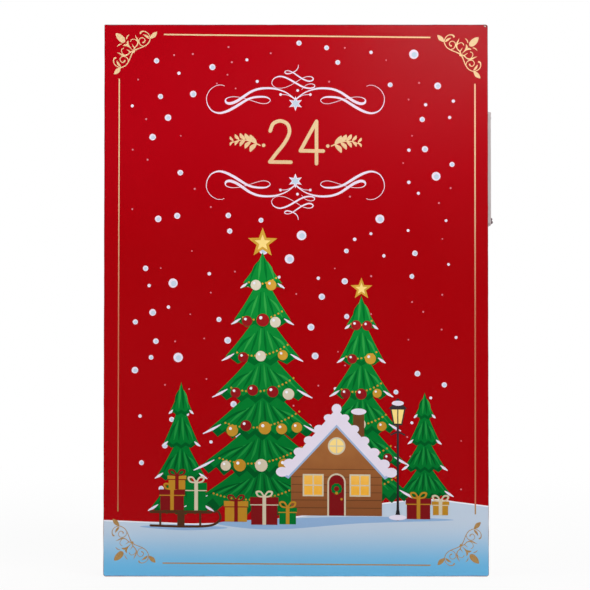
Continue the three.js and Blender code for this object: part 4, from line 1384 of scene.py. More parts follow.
@dataclass
class Fir(Motif):
    """One printed fir: drooping tiers, snow on their tips, strings of beads and baubles."""

    height: float
    half: float
    tiers: int
    dressed: bool = True

    def span(self, number: int) -> Point:
        """Half the width of one tier, counted from the top, and the height of its foot."""
        share = (number + 1) / self.tiers
        return self.half * (0.16 + 0.84 * share), self.height * (1 - share)

    def tier(self, number: int, spread: float = 1.0, lift: float = 0.0) -> Loop:
        """One tier with sagging flanks and a row of drooping tips.

        Args:
            number: Its place from the top.
            spread: Its width as a share of the full width.
            lift: How far its lower edge is drawn up.

        Returns:
            Its outline.
        """
        half, foot = self.span(number)
        half, foot = half * spread, foot + lift
        # A tier starts about half a tier above the foot of the one over it.
        head = self.height * (1 - 0.97 * max(0.0, number - 0.55) / self.tiers)
        flank = [(half * t**1.25, head - (head - foot) * t) for t in (k / 8 for k in range(9))]
        tips = 2 * round(3 + 1.2 * number)
        fringe = []
        for k in range(1, tips):
            sag, notch = 0.1 * half * math.sin(math.pi * k / tips), 0.085 * half + 1.0 if k % 2 else 0.0
            fringe.append((half * (2 * k / tips - 1), foot - sag + notch))
        return [(-x, z) for x, z in flank] + fringe + flank[:0:-1]

    def sprays(self, number: int) -> tuple[list[Loop], list[Loop]]:
        """The drawn branches of one tier.

        Args:
            number: The tier's place from the top.

        Returns:
            The shaded strokes and the lit strokes.
        """
        half, foot = self.span(number)
        rise = self.height / self.tiers
        tones: tuple[list[Loop], list[Loop]] = ([], [])
        count = 4 + 2 * number
        for n in range(count):
            u = (2 * n + 1) / count - 1
            tones[n % 2].extend(pen([
                (0.30 * half * u, foot + 0.95 * rise * (1 - 0.3 * abs(u)), 0.4),
                (0.52 * half * u, foot + 0.55 * rise, 1.7),
                (0.76 * half * u, foot + 0.16 * rise + 0.08 * half, 0.4),
            ]))
        return tones

    def branches(self) -> None:
        """Prints the branches in three greens, and the snow on their tips."""
        tiers = [self.tier(k) for k in range(self.tiers)]
        self.ink("branches", tiers, FIR_DARK_INK, 1)
        sprays = [self.sprays(k) for k in range(self.tiers)]
        lit = [[self.tier(k, 0.9, 0.045 * self.half + 1.4)] for k in range(self.tiers)]
        for tone, outlines, ink, step in (
            ("lit", lit, FIR_LIGHT_INK, 2), ("bright", [pair[1] for pair in sprays], FIR_BRIGHT_INK, 3),
            ("deep", [pair[0] for pair in sprays], FIR_DARK_INK, 4),
        ):
            parts = [
                (moved(part, self.axis, self.foot), moved(tiers[:k], self.axis, self.foot))
                for k, part in enumerate(outlines)
            ]
            self.cover.ink_parts(f"{self.name}_{tone}_branches", parts, ink, self.order + step)
        snow = []
        for half, foot in (self.span(k) for k in range(self.tiers)):
            snow += pen([
                (0.99 * half, foot + 0.6, 0.7), (0.84 * half, foot + 0.06 * half + 1.2, 1.8),
                (0.70 * half, foot + 0.12 * half + 2.0, 0.6),
            ])
        self.ink("snow", snow + mirrored(snow), WHITE_INK, 5)

    def dress(self) -> None:
        """Prints the strings of beads, the baubles and the star."""
        dice = random.Random(self.name)
        beads, glints = [], []
        baubles: tuple[list[Loop], ...] = ([], [], [])
        for tier in range(self.tiers):
            half, foot = self.span(tier)
            count = max(4, round(half / 2.1))
            for u in (2 * n / count - 1 for n in range(count + 1)):
                sag = 0.16 * half * (1 - u * u)
                beads.append(disc(0.62 * half * u, foot + (0.24 + 0.1 * u) * half + 2.4 - sag, 0.75, 8))
            count = 1 + round(half / 12) if tier < self.tiers - 1 else 0
            for n in range(count):
                u = (2 * n + 1) / count - 1 + dice.uniform(-0.08, 0.08)
                x, z = 0.70 * half * u, foot + dice.uniform(0.02, 0.12) * half + 1.8
                radius = 2.4 + 0.030 * self.half * dice.uniform(0.7, 1.4)
                baubles[dice.randrange(3)].append(disc(x, z, radius))
                glints.append(disc(x - 0.32 * radius, z + 0.36 * radius, 0.26 * radius, 10))
        self.ink("beads", beads, GOLD_INK, 6)
        for step, (colour, ink) in enumerate((("red", RED_INK), ("gold", GOLD_INK), ("pale", CREAM_INK))):
            if baubles[step]:
                self.ink(f"{colour}_baubles", baubles[step], ink, 7 + step)
        self.ink("glints", glints, CREST_INK, 10)
        reach = 0.17 * self.half + 1.5
        top = self.height + 0.6 * reach
        self.ink("star", [star(0.0, top, reach)], GOLD_INK, 10)
        self.ink("star_core", [star(0.0, top, 0.55 * reach)], GLOW_INK, 11)

    def build(self) -> None:
        """Prints the fir from its trunk to its baubles."""
        width = 0.11 * self.half
        self.ink("trunk", [rectangle(-width, -10.0, width, 8.0)], BARK_INK, 0)
        self.branches()
        if self.dressed:
            self.dress()


@dataclass
class Cottage(Motif):
    """The printed cottage: timber walls, lit windows and a deep roof of snow."""

    name: str = "cottage"
    order: int = 34
    axis: float = 29.0
    foot: float = -158.0

    wall: tuple[Point, ...] = ((-33, 0), (33, 0), (33, 38), (0, 72), (-33, 38))
    roof: tuple[Point, ...] = ((-40, 31.5), (-35, 28.5), (0, 66), (35, 28.5), (40, 31.5), (0, 78))
    plank: float = 5.6
    planks: int = 6

    # The two windows' middles, half their width and height, and half the width of their bars.
    windows: tuple[Point, ...] = ((-17.0, 22.0), (17.0, 22.0))
    pane: Point = (6.5, 7.0)
    bar: float = 0.45

    # The round window's height and radius, half the door's width and its height.
    round_height: float = 50.5
    round_radius: float = 5.2
    door: float = 5.5
    door_height: float = 24.0

    # The frames' width at the square windows, and at the round window and the door.
    square_trim: float = 1.1
    round_trim: float = 1.2

    def openings(self, square_trim: float, round_trim: float) -> tuple[list[Loop], list[Loop]]:
        """The outlines of the panes and of the door, grown by the width of their frames."""
        wide, tall = self.pane[0] + square_trim, self.pane[1] + square_trim
        panes = [band(x, z, wide, tall) for x, z in self.windows]
        panes.append(disc(0.0, self.round_height, self.round_radius + round_trim, 26))
        half, height = self.door + round_trim, self.door_height
        return panes, [rectangle(-half, 0.0, half, height), disc(0.0, height, half, 26)]

    def build(self) -> None:
        """Prints the walls, the openings and the roof."""
        self.ink("chimney", [rectangle(12, 38, 20, 75)], BARK_INK, -1)
        self.ink("wall", [self.wall], WALL_INK, 0)
        rows = [self.plank * (k + 1) for k in range(self.planks)]
        lines = [pen([(-32.6, z, 0.45), (32.6, z, 0.45)], soft=False) for z in rows]
        self.ink("planks", [part for line in lines for part in line], BARK_INK, 1)
        panes, door = self.openings(0.0, 0.0)
        frames, door_frame = self.openings(self.square_trim, self.round_trim)
        self.ink("frames", frames + door_frame, CREAM_INK, 2)
        self.ink("panes", panes, GLOW_INK, 3)
        self.ink("door", door, RED_INK, 3)
        bars = []
        crosses = [(*window, *self.pane) for window in self.windows]
        for x, z, wide, tall in (*crosses, (0.0, self.round_height, self.round_radius, self.round_radius)):
            bars += [band(x, z, self.bar, tall), band(x, z, wide, self.bar)]
        self.ink("bars", bars, CREAM_INK, 4)
        wreath = [disc(x, z, 1.2, 10) for x, z in disc(0.0, 19.5, 2.9, 10)]
        self.ink("wreath", wreath, FIR_LIGHT_INK, 4)
        self.ink("knob", [disc(3.6, 12.0, 0.9, 10), disc(0.0, 16.4, 1.1, 10)], GOLD_INK, 5)
        self.ink("roof_shadow", moved([self.roof], 0.0, -2.0), SHADE_INK, 4)
        slope = (0.15, 0.32, 0.5, 0.68, 0.86, 0.99)
        drifts = [disc(40 * t, 78 - 47 * t, 3.1 + 1.4 * t, 16, 0.8) for t in slope]
        caps = [disc(0.0, 77.5, 3.6, 16), disc(16.0, 75.6, 5.6, 16, 0.42)]
        self.ink("roof_snow", [self.roof, *drifts, *mirrored(drifts), *caps], WHITE_INK, 5)


@dataclass
class Sledge:
    """The printed sledge with its load of wrapped boxes, and more boxes round the firs' feet."""

    cover: Cover
    order: int = 40

    # Each box's left side, foot, width, height, paper, ribbon and place in the order of printing.
    boxes: tuple[tuple[float, float, float, float, Finish, Finish, int], ...] = (
        (-99.0, -155.0, 17.0, 15.0, RED_INK, GOLD_INK, 0),
        (-80.0, -155.0, 14.0, 20.0, FIR_LIGHT_INK, CREAM_INK, 0),
        (-93.0, -139.9, 12.0, 10.0, GOLD_INK, RED_INK, 2),
        (-52.0, -163.0, 16.0, 15.0, GOLD_INK, RED_INK, 0),
        (-33.0, -165.0, 19.0, 20.0, RED_INK, CREAM_INK, 0),
        (-12.5, -164.5, 12.0, 12.0, FIR_LIGHT_INK, GOLD_INK, 0),
        (80.0, -160.0, 17.0, 15.0, RED_INK, GOLD_INK, 0),
        (99.0, -157.0, 11.0, 10.0, GOLD_INK, CREAM_INK, 0),
    )
    bow: tuple[Spot, ...] = ((0, 0, 1.1), (2.6, 3.8, 1.2), (5.6, 3.6, 1.4), (4.4, 0.9, 1.2), (0, 0, 1.0))
    bars: tuple[tuple[Spot, ...], ...] = (
        ((-106.0, -156.2, 2.0), (-84.0, -156.2, 2.0), (-62.0, -156.2, 2.0)),
        ((-106.0, -166.2, 1.6), (-80.0, -166.7, 1.6), (-62.0, -165.7, 1.6), (-55.5, -161.2, 1.6),
         (-57.0, -155.7, 1.4), (-60.0, -156.3, 1.2)),
        ((-99.0, -156.2, 1.5), (-99.0, -161.7, 1.5), (-99.0, -166.2, 1.5)),
        ((-70.0, -156.2, 1.5), (-70.0, -161.7, 1.5), (-70.0, -166.2, 1.5)),
    )
    shadows: tuple[tuple[Point, ...], ...] = (
        ((-114, -167.0), (-82, -169.5), (-50, -167.5), (-80, -165.4)),
        ((-58, -164.0), (-20, -168.5), (45, -163.5), (114, -160.5), (64, -158.5), (0, -160.0)),
    )

    def build(self) -> None:
        """Prints the boxes with their bows, and the sledge under them."""
        bow = pen(self.bow, 0.5)
        bow += mirrored(bow)
        for number, (left, foot, width, height, paper, ribbon, step) in enumerate(self.boxes, 1):
            right, top, lid = left + width, foot + height, foot + 0.72 * height
            middle = left + width / 2
            name, order = f"wrapped_box_{number}", self.order + step
            sides = [rectangle(left, foot, right, top), rectangle(left - 0.8, lid, right + 0.8, top)]
            self.cover.ink(name, sides, paper, order)
            bands = [
                rectangle(middle - 1.3, foot, middle + 1.3, top),
                rectangle(left - 0.8, lid - 0.4, right + 0.8, lid + 0.3), disc(middle, top + 0.3, 1.4, 12),
            ]
            self.cover.ink(f"{name}_ribbon", bands + moved(bow, middle, top), ribbon, order + 1)
        strokes = [part for bar in self.bars for part in pen(bar)]
        self.cover.ink("sledge", strokes, BARK_INK, self.order + 4)
        self.cover.ink("ground_shadows", [leaf(outline, 2.0) for outline in self.shadows], SHADE_INK, 2)


@dataclass
class StreetLamp(Motif):
    """The printed street lamp with its warm light."""

    name: str = "lamp"
    order: int = 42
    axis: float = 73.5
    foot: float = -159.0

    post: tuple[Spot, ...] = ((0, 0, 4.4), (0, 4, 2.6), (0, 9, 1.7), (0, 67, 1.5))
    arms: tuple[Spot, ...] = ((-5, 60, 1.0), (0, 62, 1.2), (5, 60, 1.0))
    cage: tuple[Point, ...] = ((-3.2, 67.0), (3.2, 67.0), (5.6, 79.5), (-5.6, 79.5))
    cap: tuple[Point, ...] = ((-6.8, 79.0), (6.8, 79.0), (1.6, 84.0), (-1.6, 84.0))
    pane: tuple[Point, ...] = ((0.4, 68.2), (2.5, 68.2), (4.5, 78.4), (0.4, 78.4))

    def build(self) -> None:
        """Prints the post, the lantern and its light."""
        metal = [*pen(self.post), *pen(self.arms), self.cage, self.cap, disc(0.0, 85.0, 1.5, 12)]
        self.ink("post", metal, STONE_INK, 0)
        self.ink("light", [self.pane, *mirrored([self.pane])], GLOW_INK, 1)
        self.ink("snow", [disc(0.0, 83.0, 4.4, 18, 0.42), disc(0.0, 0.0, 6.5, 18, 0.3)], WHITE_INK, 1)


@dataclass
class WinterPicture:
    """The printed picture in the cover's lower half: firs, a cottage, a sledge and a lamp."""

    cover: Cover

    # Each fir's name, place in the order of printing, axis, foot, height, half its width and tiers.
    small_firs: tuple[tuple[str, int, float, float, float, float, int], ...] = (
        ("small_fir_left", 3, -84.0, -156.0, 94.0, 24.0, 4),
        ("small_fir_right", 3, 93.0, -144.0, 76.0, 21.0, 4),
    )
    large_firs: tuple[tuple[str, int, float, float, float, float, int], ...] = (
        ("second_fir", 9, 47.0, -146.0, 148.0, 40.0, 6), ("tall_fir", 21, -25.0, -153.0, 186.0, 57.0, 7),
    )

    def build(self) -> None:
        """Prints the picture from the back to the front."""
        for fir in self.small_firs:
            Fir(self.cover, *fir, dressed=False).build()
        for fir in self.large_firs:
            Fir(self.cover, *fir).build()
        Cottage(self.cover).build()
        Sledge(self.cover).build()
        StreetLamp(self.cover).build()


# The case


@dataclass
class Case:
    """The painted case: five boards, a shelf, and a bare back that is nailed on."""

    panel_set_back: float = 0.12
    nail_radius: float = 1.7
    nail_inset: float = 3.0
    nail_rows: int = 7
    nail_columns: int = 4

    # How far the uppermost and the lowest nail of a side are from the corner's.
    corner_gap: float = 9.0

    def build(self) -> None:
        """Dresses the boards and nails the back on."""
        for node in ("case_bottom", "case_top", "case_left_side", "case_right_side"):
            softened(node, RED_PAINT, 0.6)
        softened("middle_shelf", PLY_SHELF, 0.3)
        low, high = cad_box("back_panel")
        face = high[1] - self.panel_set_back
        panel = Draft().block(low, (high[0], face, high[2]))
        stand_in("back_panel", "back_panel_dressed", panel, BARE_BOARD, 0.5)
        left, foot, right, top = (
            low[0] + self.nail_inset, low[2] + self.nail_inset, high[0] - self.nail_inset,
            high[2] - self.nail_inset,
        )
        step = (top - foot - 2 * self.corner_gap) / (self.nail_rows - 1)
        rows = [foot + self.corner_gap + k * step for k in range(self.nail_rows)]
        step = (high[0] - low[0]) / (self.nail_columns + 1)
        columns = [low[0] + (k + 1) * step for k in range(self.nail_columns)]
        radius = self.nail_radius
        head = [
            (0.0, face - 0.4), (radius, face - 0.4), (radius, face + 0.03), (0.75 * radius, high[1] - 0.02),
            (0.0, high[1]),
        ]
        nails = Draft()
        for x, z in [*product((left, right), rows), *product(columns, (foot, top))]:
            nails.turned(head, (x, 0.0, z), Way.BACK, 16)
        add_piece("back_panel_nails", nails, STEEL)


@dataclass
class Rack:
    """The crossed plywood boards that carry the drawers."""

    def build(self) -> None:
        """Dresses the shelves and the dividers."""
        for number in range(1, 4):
            softened(f"rack_shelf_{number}", PLY_SHELF, 0.2)
        for number in range(1, 6):
            softened(f"rack_divider_{number}", PLY_DIVIDER, 0.2)


class Mark(Enum):
    """What is painted below a drawer's knob."""

    STAR = 0
    FIR = 1
    CRYSTAL = 2


@dataclass
class Drawer:
    """One numbered drawer: a plywood tray, a painted front with a routed rim, and a turned knob."""

    number: int
    wall: float = 2.0
    floor: float = 2.0
    front_thickness: float = 3.0
    wall_drop: float = 9.1
    knob_length: float = 7.5
    rim: float = 2.4
    step: float = 0.5
    figure_height: float = 9.0
    figure_rise: float = 6.4
    mark_drop: float = 12.0
    stroke: float = 1.25

    # The knob's foot and neck, and its ball's foot, middle and radius, from the front's face.
    neck: tuple[Point, ...] = ((0.0, -0.6), (2.9, -0.6), (2.9, 0.5), (2.5, 0.9), (1.7, 1.2), (1.6, 1.6))
    ball_foot: float = 1.75
    ball_middle: float = 4.05
    ball_radius: float = 3.42

    # Half the width of each tier of the painted fir, and the height of its foot.
    fir: tuple[Point, ...] = ((4.2, -3.8), (3.3, -1.6), (2.3, 0.6))

    def knob(self, at: Spot) -> Draft:
        """The turned knob, from the front's face towards the viewer."""
        start = math.degrees(math.asin((self.ball_foot - self.ball_middle) / self.ball_radius))
        ball = arc(0.0, self.ball_middle, self.ball_radius, start, 90.0, 12)[:-1]
        head = (0.0, self.ball_middle + self.ball_radius)
        return Draft().turned([*self.neck, *ball, head], at, Way.FRONT, 28)

    def marks(self) -> list[Loop]:
        """The painted figures above the knob's middle and the motif below it."""
        marks = figures(str(self.number), 0.0, self.figure_rise, self.figure_height, self.stroke)
        mark = Mark(self.number % 3)
        if mark is Mark.STAR:
            return [*marks, star(0.0, -self.mark_drop, 4.6)]
        if mark is Mark.CRYSTAL:
            return marks + crystal(0.0, -self.mark_drop, 4.4, 0.75)
        fir = [[(-half, foot), (half, foot), (0.0, foot + 3.6)] for half, foot in self.fir]
        return marks + moved([*fir, rectangle(-0.6, -5.0, 0.6, -3.5)], 0.0, -self.mark_drop)

    def build(self) -> None:
        """Builds the drawer on its own body."""
        node = f"drawer_{self.number:02d}"
        low, high = cad_box(node)
        face = low[1] + self.knob_length
        back = face + self.front_thickness
        middle, height = (low[0] + high[0]) / 2, (low[2] + high[2]) / 2
        # The three colours run on from drawer to drawer, and shift by one from row to row of six.
        paint, ink = (
            (DRAWER_RED, CREAM_PAINT), (CREAM_PAINT, DRAWER_RED), (DRAWER_GREEN, CREAM_PAINT),
        )[(self.number + (self.number - 1) // 6) % 3]
        foot, head = (low[0], back - self.wall + 0.05, low[2]), (high[0], high[1], high[2] - self.wall_drop)
        tray = Draft().tray(foot, head, self.wall, self.floor)
        stand_in(node, f"{node}_tray", tray, PLY_SHELF, 0.3)
        front = Draft().block((low[0], face + self.step, low[2]), (high[0], back, high[2]))
        foot = (low[0] + self.rim, face, low[2] + self.rim)
        front.block(foot, (high[0] - self.rim, face + 2 * self.step, high[2] - self.rim))
        add_piece(f"{node}_front", front, paint, node, 0.45)
        add_piece(f"{node}_knob", self.knob((middle, face, height)), BEECH_KNOB, node)
        marks = Draft().plate(moved(self.marks(), middle, height), face - 0.06, face + 0.05)
        add_piece(f"{node}_marks", marks, ink, node)


# The lit scene


@dataclass
class LitScene:
    """The layers above the drawers: an arched frame, firs, houses and a night sky."""

    middle: float = 1.9
    foot: float = 183.5
    width: float = 240.9
    height: float = 212.5
    ground: float = 20.0
    joint: float = 0.2
    thickness: float = 3.0
    frame_front: float = -24.5
    forest_front: float = -16.5
    village_front: float = -8.5
    sky_front: float = 6.5

    # Half the opening's width, the heights of its foot and of its arch's ends, and the arch's rise.
    opening_half: float = 111.6
    opening_foot: float = 10.0
    springing: float = 164.5
    rise: float = 34.0

    # The painted dots: their distance from the opening, their pitch and their radius.
    dot_gap: float = 5.0
    dot_pitch: float = 7.0
    dot_radius: float = 1.15
    flakes: tuple[Spot, ...] = ((118.0, 388.0, 5.2), (100.0, 390.5, 3.2), (123.5, 372.0, 3.0))

    # The snow's heights from the right to the left, as shares of the ground's.
    forest_crest: tuple[float, ...] = (0.8, 0.55, 0.42, 0.6, 0.5, 0.35, 0.45, 0.7, 0.95)
    village_crest: tuple[float, ...] = (0.9, 1.1, 0.95, 1.05, 0.9, 1.1, 1.0, 0.9, 1.05)

    # Each fir's middle, width and height as shares of the layer's.
    firs: tuple[Spot, ...] = (
        (0.065, 0.12, 0.6), (0.175, 0.09, 0.42), (0.27, 0.065, 0.27), (0.755, 0.07, 0.3),
        (0.85, 0.09, 0.45), (0.945, 0.09, 0.62),
    )

    # Each fir tier's outer and inner half-width, its foot and its head, as shares.
    tiers: tuple[tuple[float, ...], ...] = (
        (1.0, 0.42, 0.0, 0.42), (0.78, 0.3, 0.42, 0.66), (0.52, 0.0, 0.66, 1.0),
    )

    # Each house's left side, width, wall height and roof height as shares, its windows and its paint.
    houses: tuple[tuple[float, float, float, float, int, Finish], ...] = (
        (0.12, 0.17, 0.32, 0.17, 2, CREAM_PAINT), (0.31, 0.13, 0.42, 0.24, 2, BRICK_PAINT),
        (0.455, 0.18, 0.3, 0.15, 3, OCHRE_PAINT), (0.65, 0.15, 0.37, 0.18, 2, BLUE_PAINT),
    )

    # The stars' number, the space that they lie in, and how far they stay from the moon's middle.
    star_count: int = 46
    star_space: tuple[float, ...] = (-112.0, 104.0, 64.0, 196.0)
    moon_space: float = 22.0

    # The middle and the radius of the moon, and of the disc that is cut out of it.
    moon: Spot = (62.0, 150.0, 14.5)
    moon_shadow: Spot = (69.0, 155.0, 12.5)

    def put(
        self, name: str, outlines: Iterable[Loop], front: float, back: float, finish: Finish,
        edge: float = 0.0, holes: Iterable[Loop] = (),
    ) -> None:
        """Adds a flat painted piece to the scene.

        Args:
            name: The piece's name.
            outlines: Its outlines.
            front: Where its front is.
            back: Where its back is.
            finish: Its finish.
            edge: The width of its rounded edges.
            holes: The outlines of its openings.
        """
        add_piece(name, Draft().plate(outlines, front, back, holes), finish, edge=edge)

    def bank(self, node: str, name: str, crest: tuple[float, ...], front: float, proud: float) -> None:
        """A layer's bank of snow.

        Args:
            node: The layer's CAD node.
            name: The piece's name.
            crest: Its heights from the right to the left.
            front: Where the layer's front is.
            proud: How far the snow stands out from it.
        """
        left, right, foot = self.middle - self.width / 2, self.middle + self.width / 2, self.foot + self.joint
        step = self.width / (len(crest) - 1)
        points = [(right - k * step, self.foot + share * self.ground) for k, share in enumerate(crest)]
        outline = [(left, foot), (right, foot), *smooth(points, 2.5)]
        bank = Draft().plate([outline], front - proud, front + self.thickness)
        stand_in(node, name, bank, SNOW_PAINT, 0.3)

    def frame_layer(self) -> None:
        """The frame, with a painted row of dots round its opening and crystals above it."""
        softened("scene_frame", RED_PAINT, 0.5)
        half, foot = self.opening_half + self.dot_gap, self.foot + self.opening_foot
        top = self.foot + self.springing
        radius = (self.opening_half**2 + self.rise**2) / (2 * self.rise)
        reach = math.degrees(math.asin(self.opening_half / radius))
        side = [(half, foot + self.dot_pitch * k) for k in range(int((top - foot) / self.dot_pitch) + 1)]
        count = round(2 * math.radians(reach) * radius / self.dot_pitch)
        crown = arc(0.0, top + self.rise - radius, radius + self.dot_gap, 90 - reach, 90 + reach, count)
        path = side + crown + [(-x, z) for x, z in side]
        dots = [disc(self.middle + x, z, self.dot_radius, 14) for x, z in path]
        for x, z, r in self.flakes:
            dots += crystal(self.middle + x, z, r, 0.8) + crystal(self.middle - x, z, r, 0.8)
        self.put("scene_frame_dots", dots, self.frame_front - 0.15, self.frame_front + 0.05, CREAM_PAINT)

    def fir(self, number: int, middle: float, width: float, height: float) -> None:
        """One fir of the front layer, with snow on its tips and a few beads.

        Args:
            number: Its number from the left.
            middle: Its middle as a share of the layer's width.
            width: Its width as a share of that.
            height: Its height as a share of the scene's.
        """
        axis, foot = self.middle + (middle - 0.5) * self.width, self.foot + self.joint
        half, top, front = width * self.width / 2, height * self.height, self.forest_front
        outlines, snow, beads = [], [], []
        for outer, inner, low, high in self.tiers:
            base, rise = low * (top - self.joint), (high - low) * (top - self.joint)
            reach, neck = outer * half, inner * half
            flank = [(neck + (reach - neck) * (1 - k / 7) ** 1.12, base + rise * k / 7) for k in range(8)]
            # Every other one of the tips along the tier's foot is cut up a little.
            fringe = [(reach * (k / 4 - 1), base + (1.0 if k % 2 else 0.0)) for k in range(1, 8)]
            outlines.append([(-x, z) for x, z in flank[::-1]] + fringe + flank)
            snow.append(leaf([
                (0.99 * reach, base + 0.25), (0.7 * reach, base + 0.9), (0.52 * reach, base + 0.3 * rise),
                (0.8 * reach, base + 0.17 * rise),
            ], 1.0))
            for t in (-0.4, -0.1, 0.2, 0.45):
                beads.append(disc(reach * t, base + 0.13 * rise + 3.0 * abs(t), 0.9, 12))
        neck = 0.08 * half
        tip = [(0.0, top - self.joint - 0.2), (-neck, 0.93 * top), (0.0, 0.9 * top), (neck, 0.93 * top)]
        snow += [*mirrored(snow), leaf(tip, 1.0)]
        name = f"forest_fir_{number}"
        body = Draft().plate(moved(outlines, axis, foot), front, front + self.thickness)
        add_piece(name, body, FIR_PAINT, edge=0.25)
        self.put(f"{name}_snow", moved(snow, axis, foot), front - 0.5, front + 0.1, SNOW_PAINT, 0.15)
        self.put(f"{name}_beads", moved(beads, axis, foot), front - 0.35, front + 0.1, GOLD_PAINT)

    def house(
        self, number: int, left: float, width: float, wall: float, roof: float, windows: int, paint: Finish
    ) -> None:
        """One house with its snowy roof, its chimney and its window bars.

        Args:
            number: Its number from the left.
            left: Its left side as a share of the layer's width.
            width: Its width as a share of that.
            wall: Its walls' height as a share of the scene's.
            roof: Its roof's height as a share of that.
            windows: How many windows it has.
            paint: Its walls' paint.
        """
        x0, span = self.middle + (left - 0.5) * self.width, width * self.width
        foot, front, middle = self.foot + self.joint, self.village_front, x0 + span / 2
        eaves, rise = self.foot + wall * self.height, roof * self.height
        ridge = eaves + rise
        outline = [(x0, foot), (x0 + span, foot), (x0 + span, eaves), (middle, ridge), (x0, eaves)]
        tall = 0.12 * wall * self.height
        sill = self.foot + self.ground + 0.36 * (wall * self.height - self.ground)
        half, height = 0.1 * span, sill + tall
        centres = [x0 + (k + 0.5) / windows * span for k in range(windows)]
        openings = [band(x, height, half, tall) for x in centres]
        name = f"village_house_{number}"
        self.put(name, [outline], front, front + self.thickness, paint, 0.2, openings)
        cut_left, cut_top = x0 + 0.66 * span, eaves + 0.85 * rise
        chimney = rectangle(cut_left, eaves, cut_left + 0.13 * span, cut_top)
        back = front + self.thickness - 0.2
        self.put(f"{name}_chimney", [chimney], front + 0.2, back, BRICK_PAINT, 0.2)
        bars = Draft()
        for x in centres:
            rim = rectangle(x - half - 1.0, sill - 1.2, x + half + 1.0, height + tall + 1.0)
            bars.plate([rim], front - 0.4, front + 0.6, [band(x, height, half - 0.1, tall - 0.1)])
            cross = [band(x, height, 0.4, tall), band(x, height, half, 0.4)]
            bars.plate(cross, front - 0.4, front + 0.6)
        add_piece(f"{name}_bars", bars, SNOW_PAINT)
        slope = Vector((span / 2, -rise)).normalized()
        length = math.hypot(span / 2, rise) + 1.5

        def on(way: float, off: float) -> Point:
            """A place by its distance down the right slope and off it, from the ridge."""
            return (way * slope.x - off * slope.y, way * slope.y + off * slope.x)

        tiles = [[on(-0.5, -3.2), on(length, -3.2), on(length, 0.2), on(-0.5, 0.2)]]
        wave = [on(length * k / 9, -1.5 if k % 2 else -0.6) for k in range(9, -1, -1)]
        snow = [[on(-0.6, 1.0), on(length * 0.5, 1.5), on(length + 0.4, 1.2), *wave]]
        tiles = moved(tiles + mirrored(tiles), middle, ridge)
        snow = moved(snow + mirrored(snow), middle, ridge)
        snow.append(disc(middle, ridge + 0.2, 1.7, 14))
        snow.append(disc(cut_left + 0.065 * span, cut_top, 0.085 * span, 16, 0.4))
        self.put(f"{name}_roof", tiles, front - 0.6, front + 0.5, BARK_PAINT, 0.15)
        self.put(f"{name}_snow", snow, front - 1.2, front + 1.0, SNOW_PAINT, 0.25)

    def sky(self) -> None:
        """The sky, with painted stars and a moon."""
        softened("scene_backdrop", SKY, 0.3)
        dice = random.Random(SEED + 1)
        left, right, foot, head = self.star_space
        marks = []
        while len(marks) < self.star_count:
            x, z = dice.uniform(left, right), dice.uniform(foot, head)
            if math.dist((x, z), self.moon[:2]) > self.moon_space:
                size = dice.uniform(0.8, 2.4)
                marks.append(star(x, z, size + 0.6) if size > 1.7 else disc(x, z, 0.6 * size, 12))
        marks = moved(marks, self.middle, self.foot)
        face = self.sky_front
        self.put("sky_stars", marks, face - 0.15, face + 0.05, CREAM_PAINT)
        moon, shadow = moved([disc(*self.moon, 48), disc(*self.moon_shadow, 48)], self.middle, self.foot)
        self.put("sky_moon", [moon], face - 0.5, face + 0.1, GOLD_PAINT, 0.15, [shadow])

    def build(self) -> None:
        """Builds the layers from the front to the back."""
        self.frame_layer()
        self.bank("scene_forest", "forest_bank", self.forest_crest, self.forest_front, 0.3)
        for number, fir in enumerate(self.firs, 1):
            self.fir(number, *fir)
        self.bank("scene_village", "village_bank", self.village_crest, self.village_front, 0.5)
        for number, house in enumerate(self.houses, 1):
            self.house(number, *house)
        self.sky()


@dataclass
class LampString:
    """The string of eight warm lamps: two twisted wires behind the sky, and a bead in each hole."""

    scene: LitScene
    start: Point = (124.55, 280.6)
    depth: float = 11.05
    strand: float = 0.34
    twist: float = 0.35
    pitch: float = 7.0

    # The lamps' places as shares of the layers' width and of the scene's height.
    places: tuple[Point, ...] = (
        (0.78, 0.3), (0.62, 0.24), (0.44, 0.3), (0.26, 0.24), (0.14, 0.55), (0.33, 0.74), (0.56, 0.6),
        (0.8, 0.72),
    )

    # A bead's rim and body, from the sky's back forwards.
    bead: tuple[Point, ...] = ((0.0, -1.15), (3.05, -1.15), (3.1, -0.9), (3.1, -0.3), (2.5, -0.2), (2.5, 5.5))

    def build(self) -> None:
        """Builds the wires and the lamps."""
        scene = self.scene
        left = scene.middle - scene.width / 2
        spots = [(left + x * scene.width, scene.foot + z * scene.height) for x, z in self.places]
        route = smooth([self.start, *spots], 0.9)
        run = 0.0
        strands: tuple[list[Spot], ...] = ([], [])
        for k, (x, z) in enumerate(route):
            (ax, az), (bx, bz) = route[max(0, k - 1)], route[min(len(route) - 1, k + 1)]
            run += math.dist(route[max(0, k - 1)], (x, z))
            length = math.dist((ax, az), (bx, bz))
            angle = 2 * math.pi * run / self.pitch
            for strand, radius in zip(strands, (self.twist, -self.twist)):
                off, back = radius * math.cos(angle) / length, radius * math.sin(angle)
                strand.append((x - (bz - az) * off, self.depth + back, z + (bx - ax) * off))
        wires = Draft().tube(strands[0], self.strand, 6).tube(strands[1], self.strand, 6)
        stand_in("led_string", "lamp_wires", wires, WIRE)
        back = scene.sky_front + scene.thickness
        profile = [*self.bead, *arc(0.0, 5.5, 2.5, 18, 72, 3), (0.0, 8.0)]
        for number, (x, z) in enumerate(spots, 1):
            bead = Draft().turned(profile, (x, back, z), Way.FRONT, 24)
            add_piece(f"lamp_bead_{number}", bead, LAMP)


# The power and the ironmongery


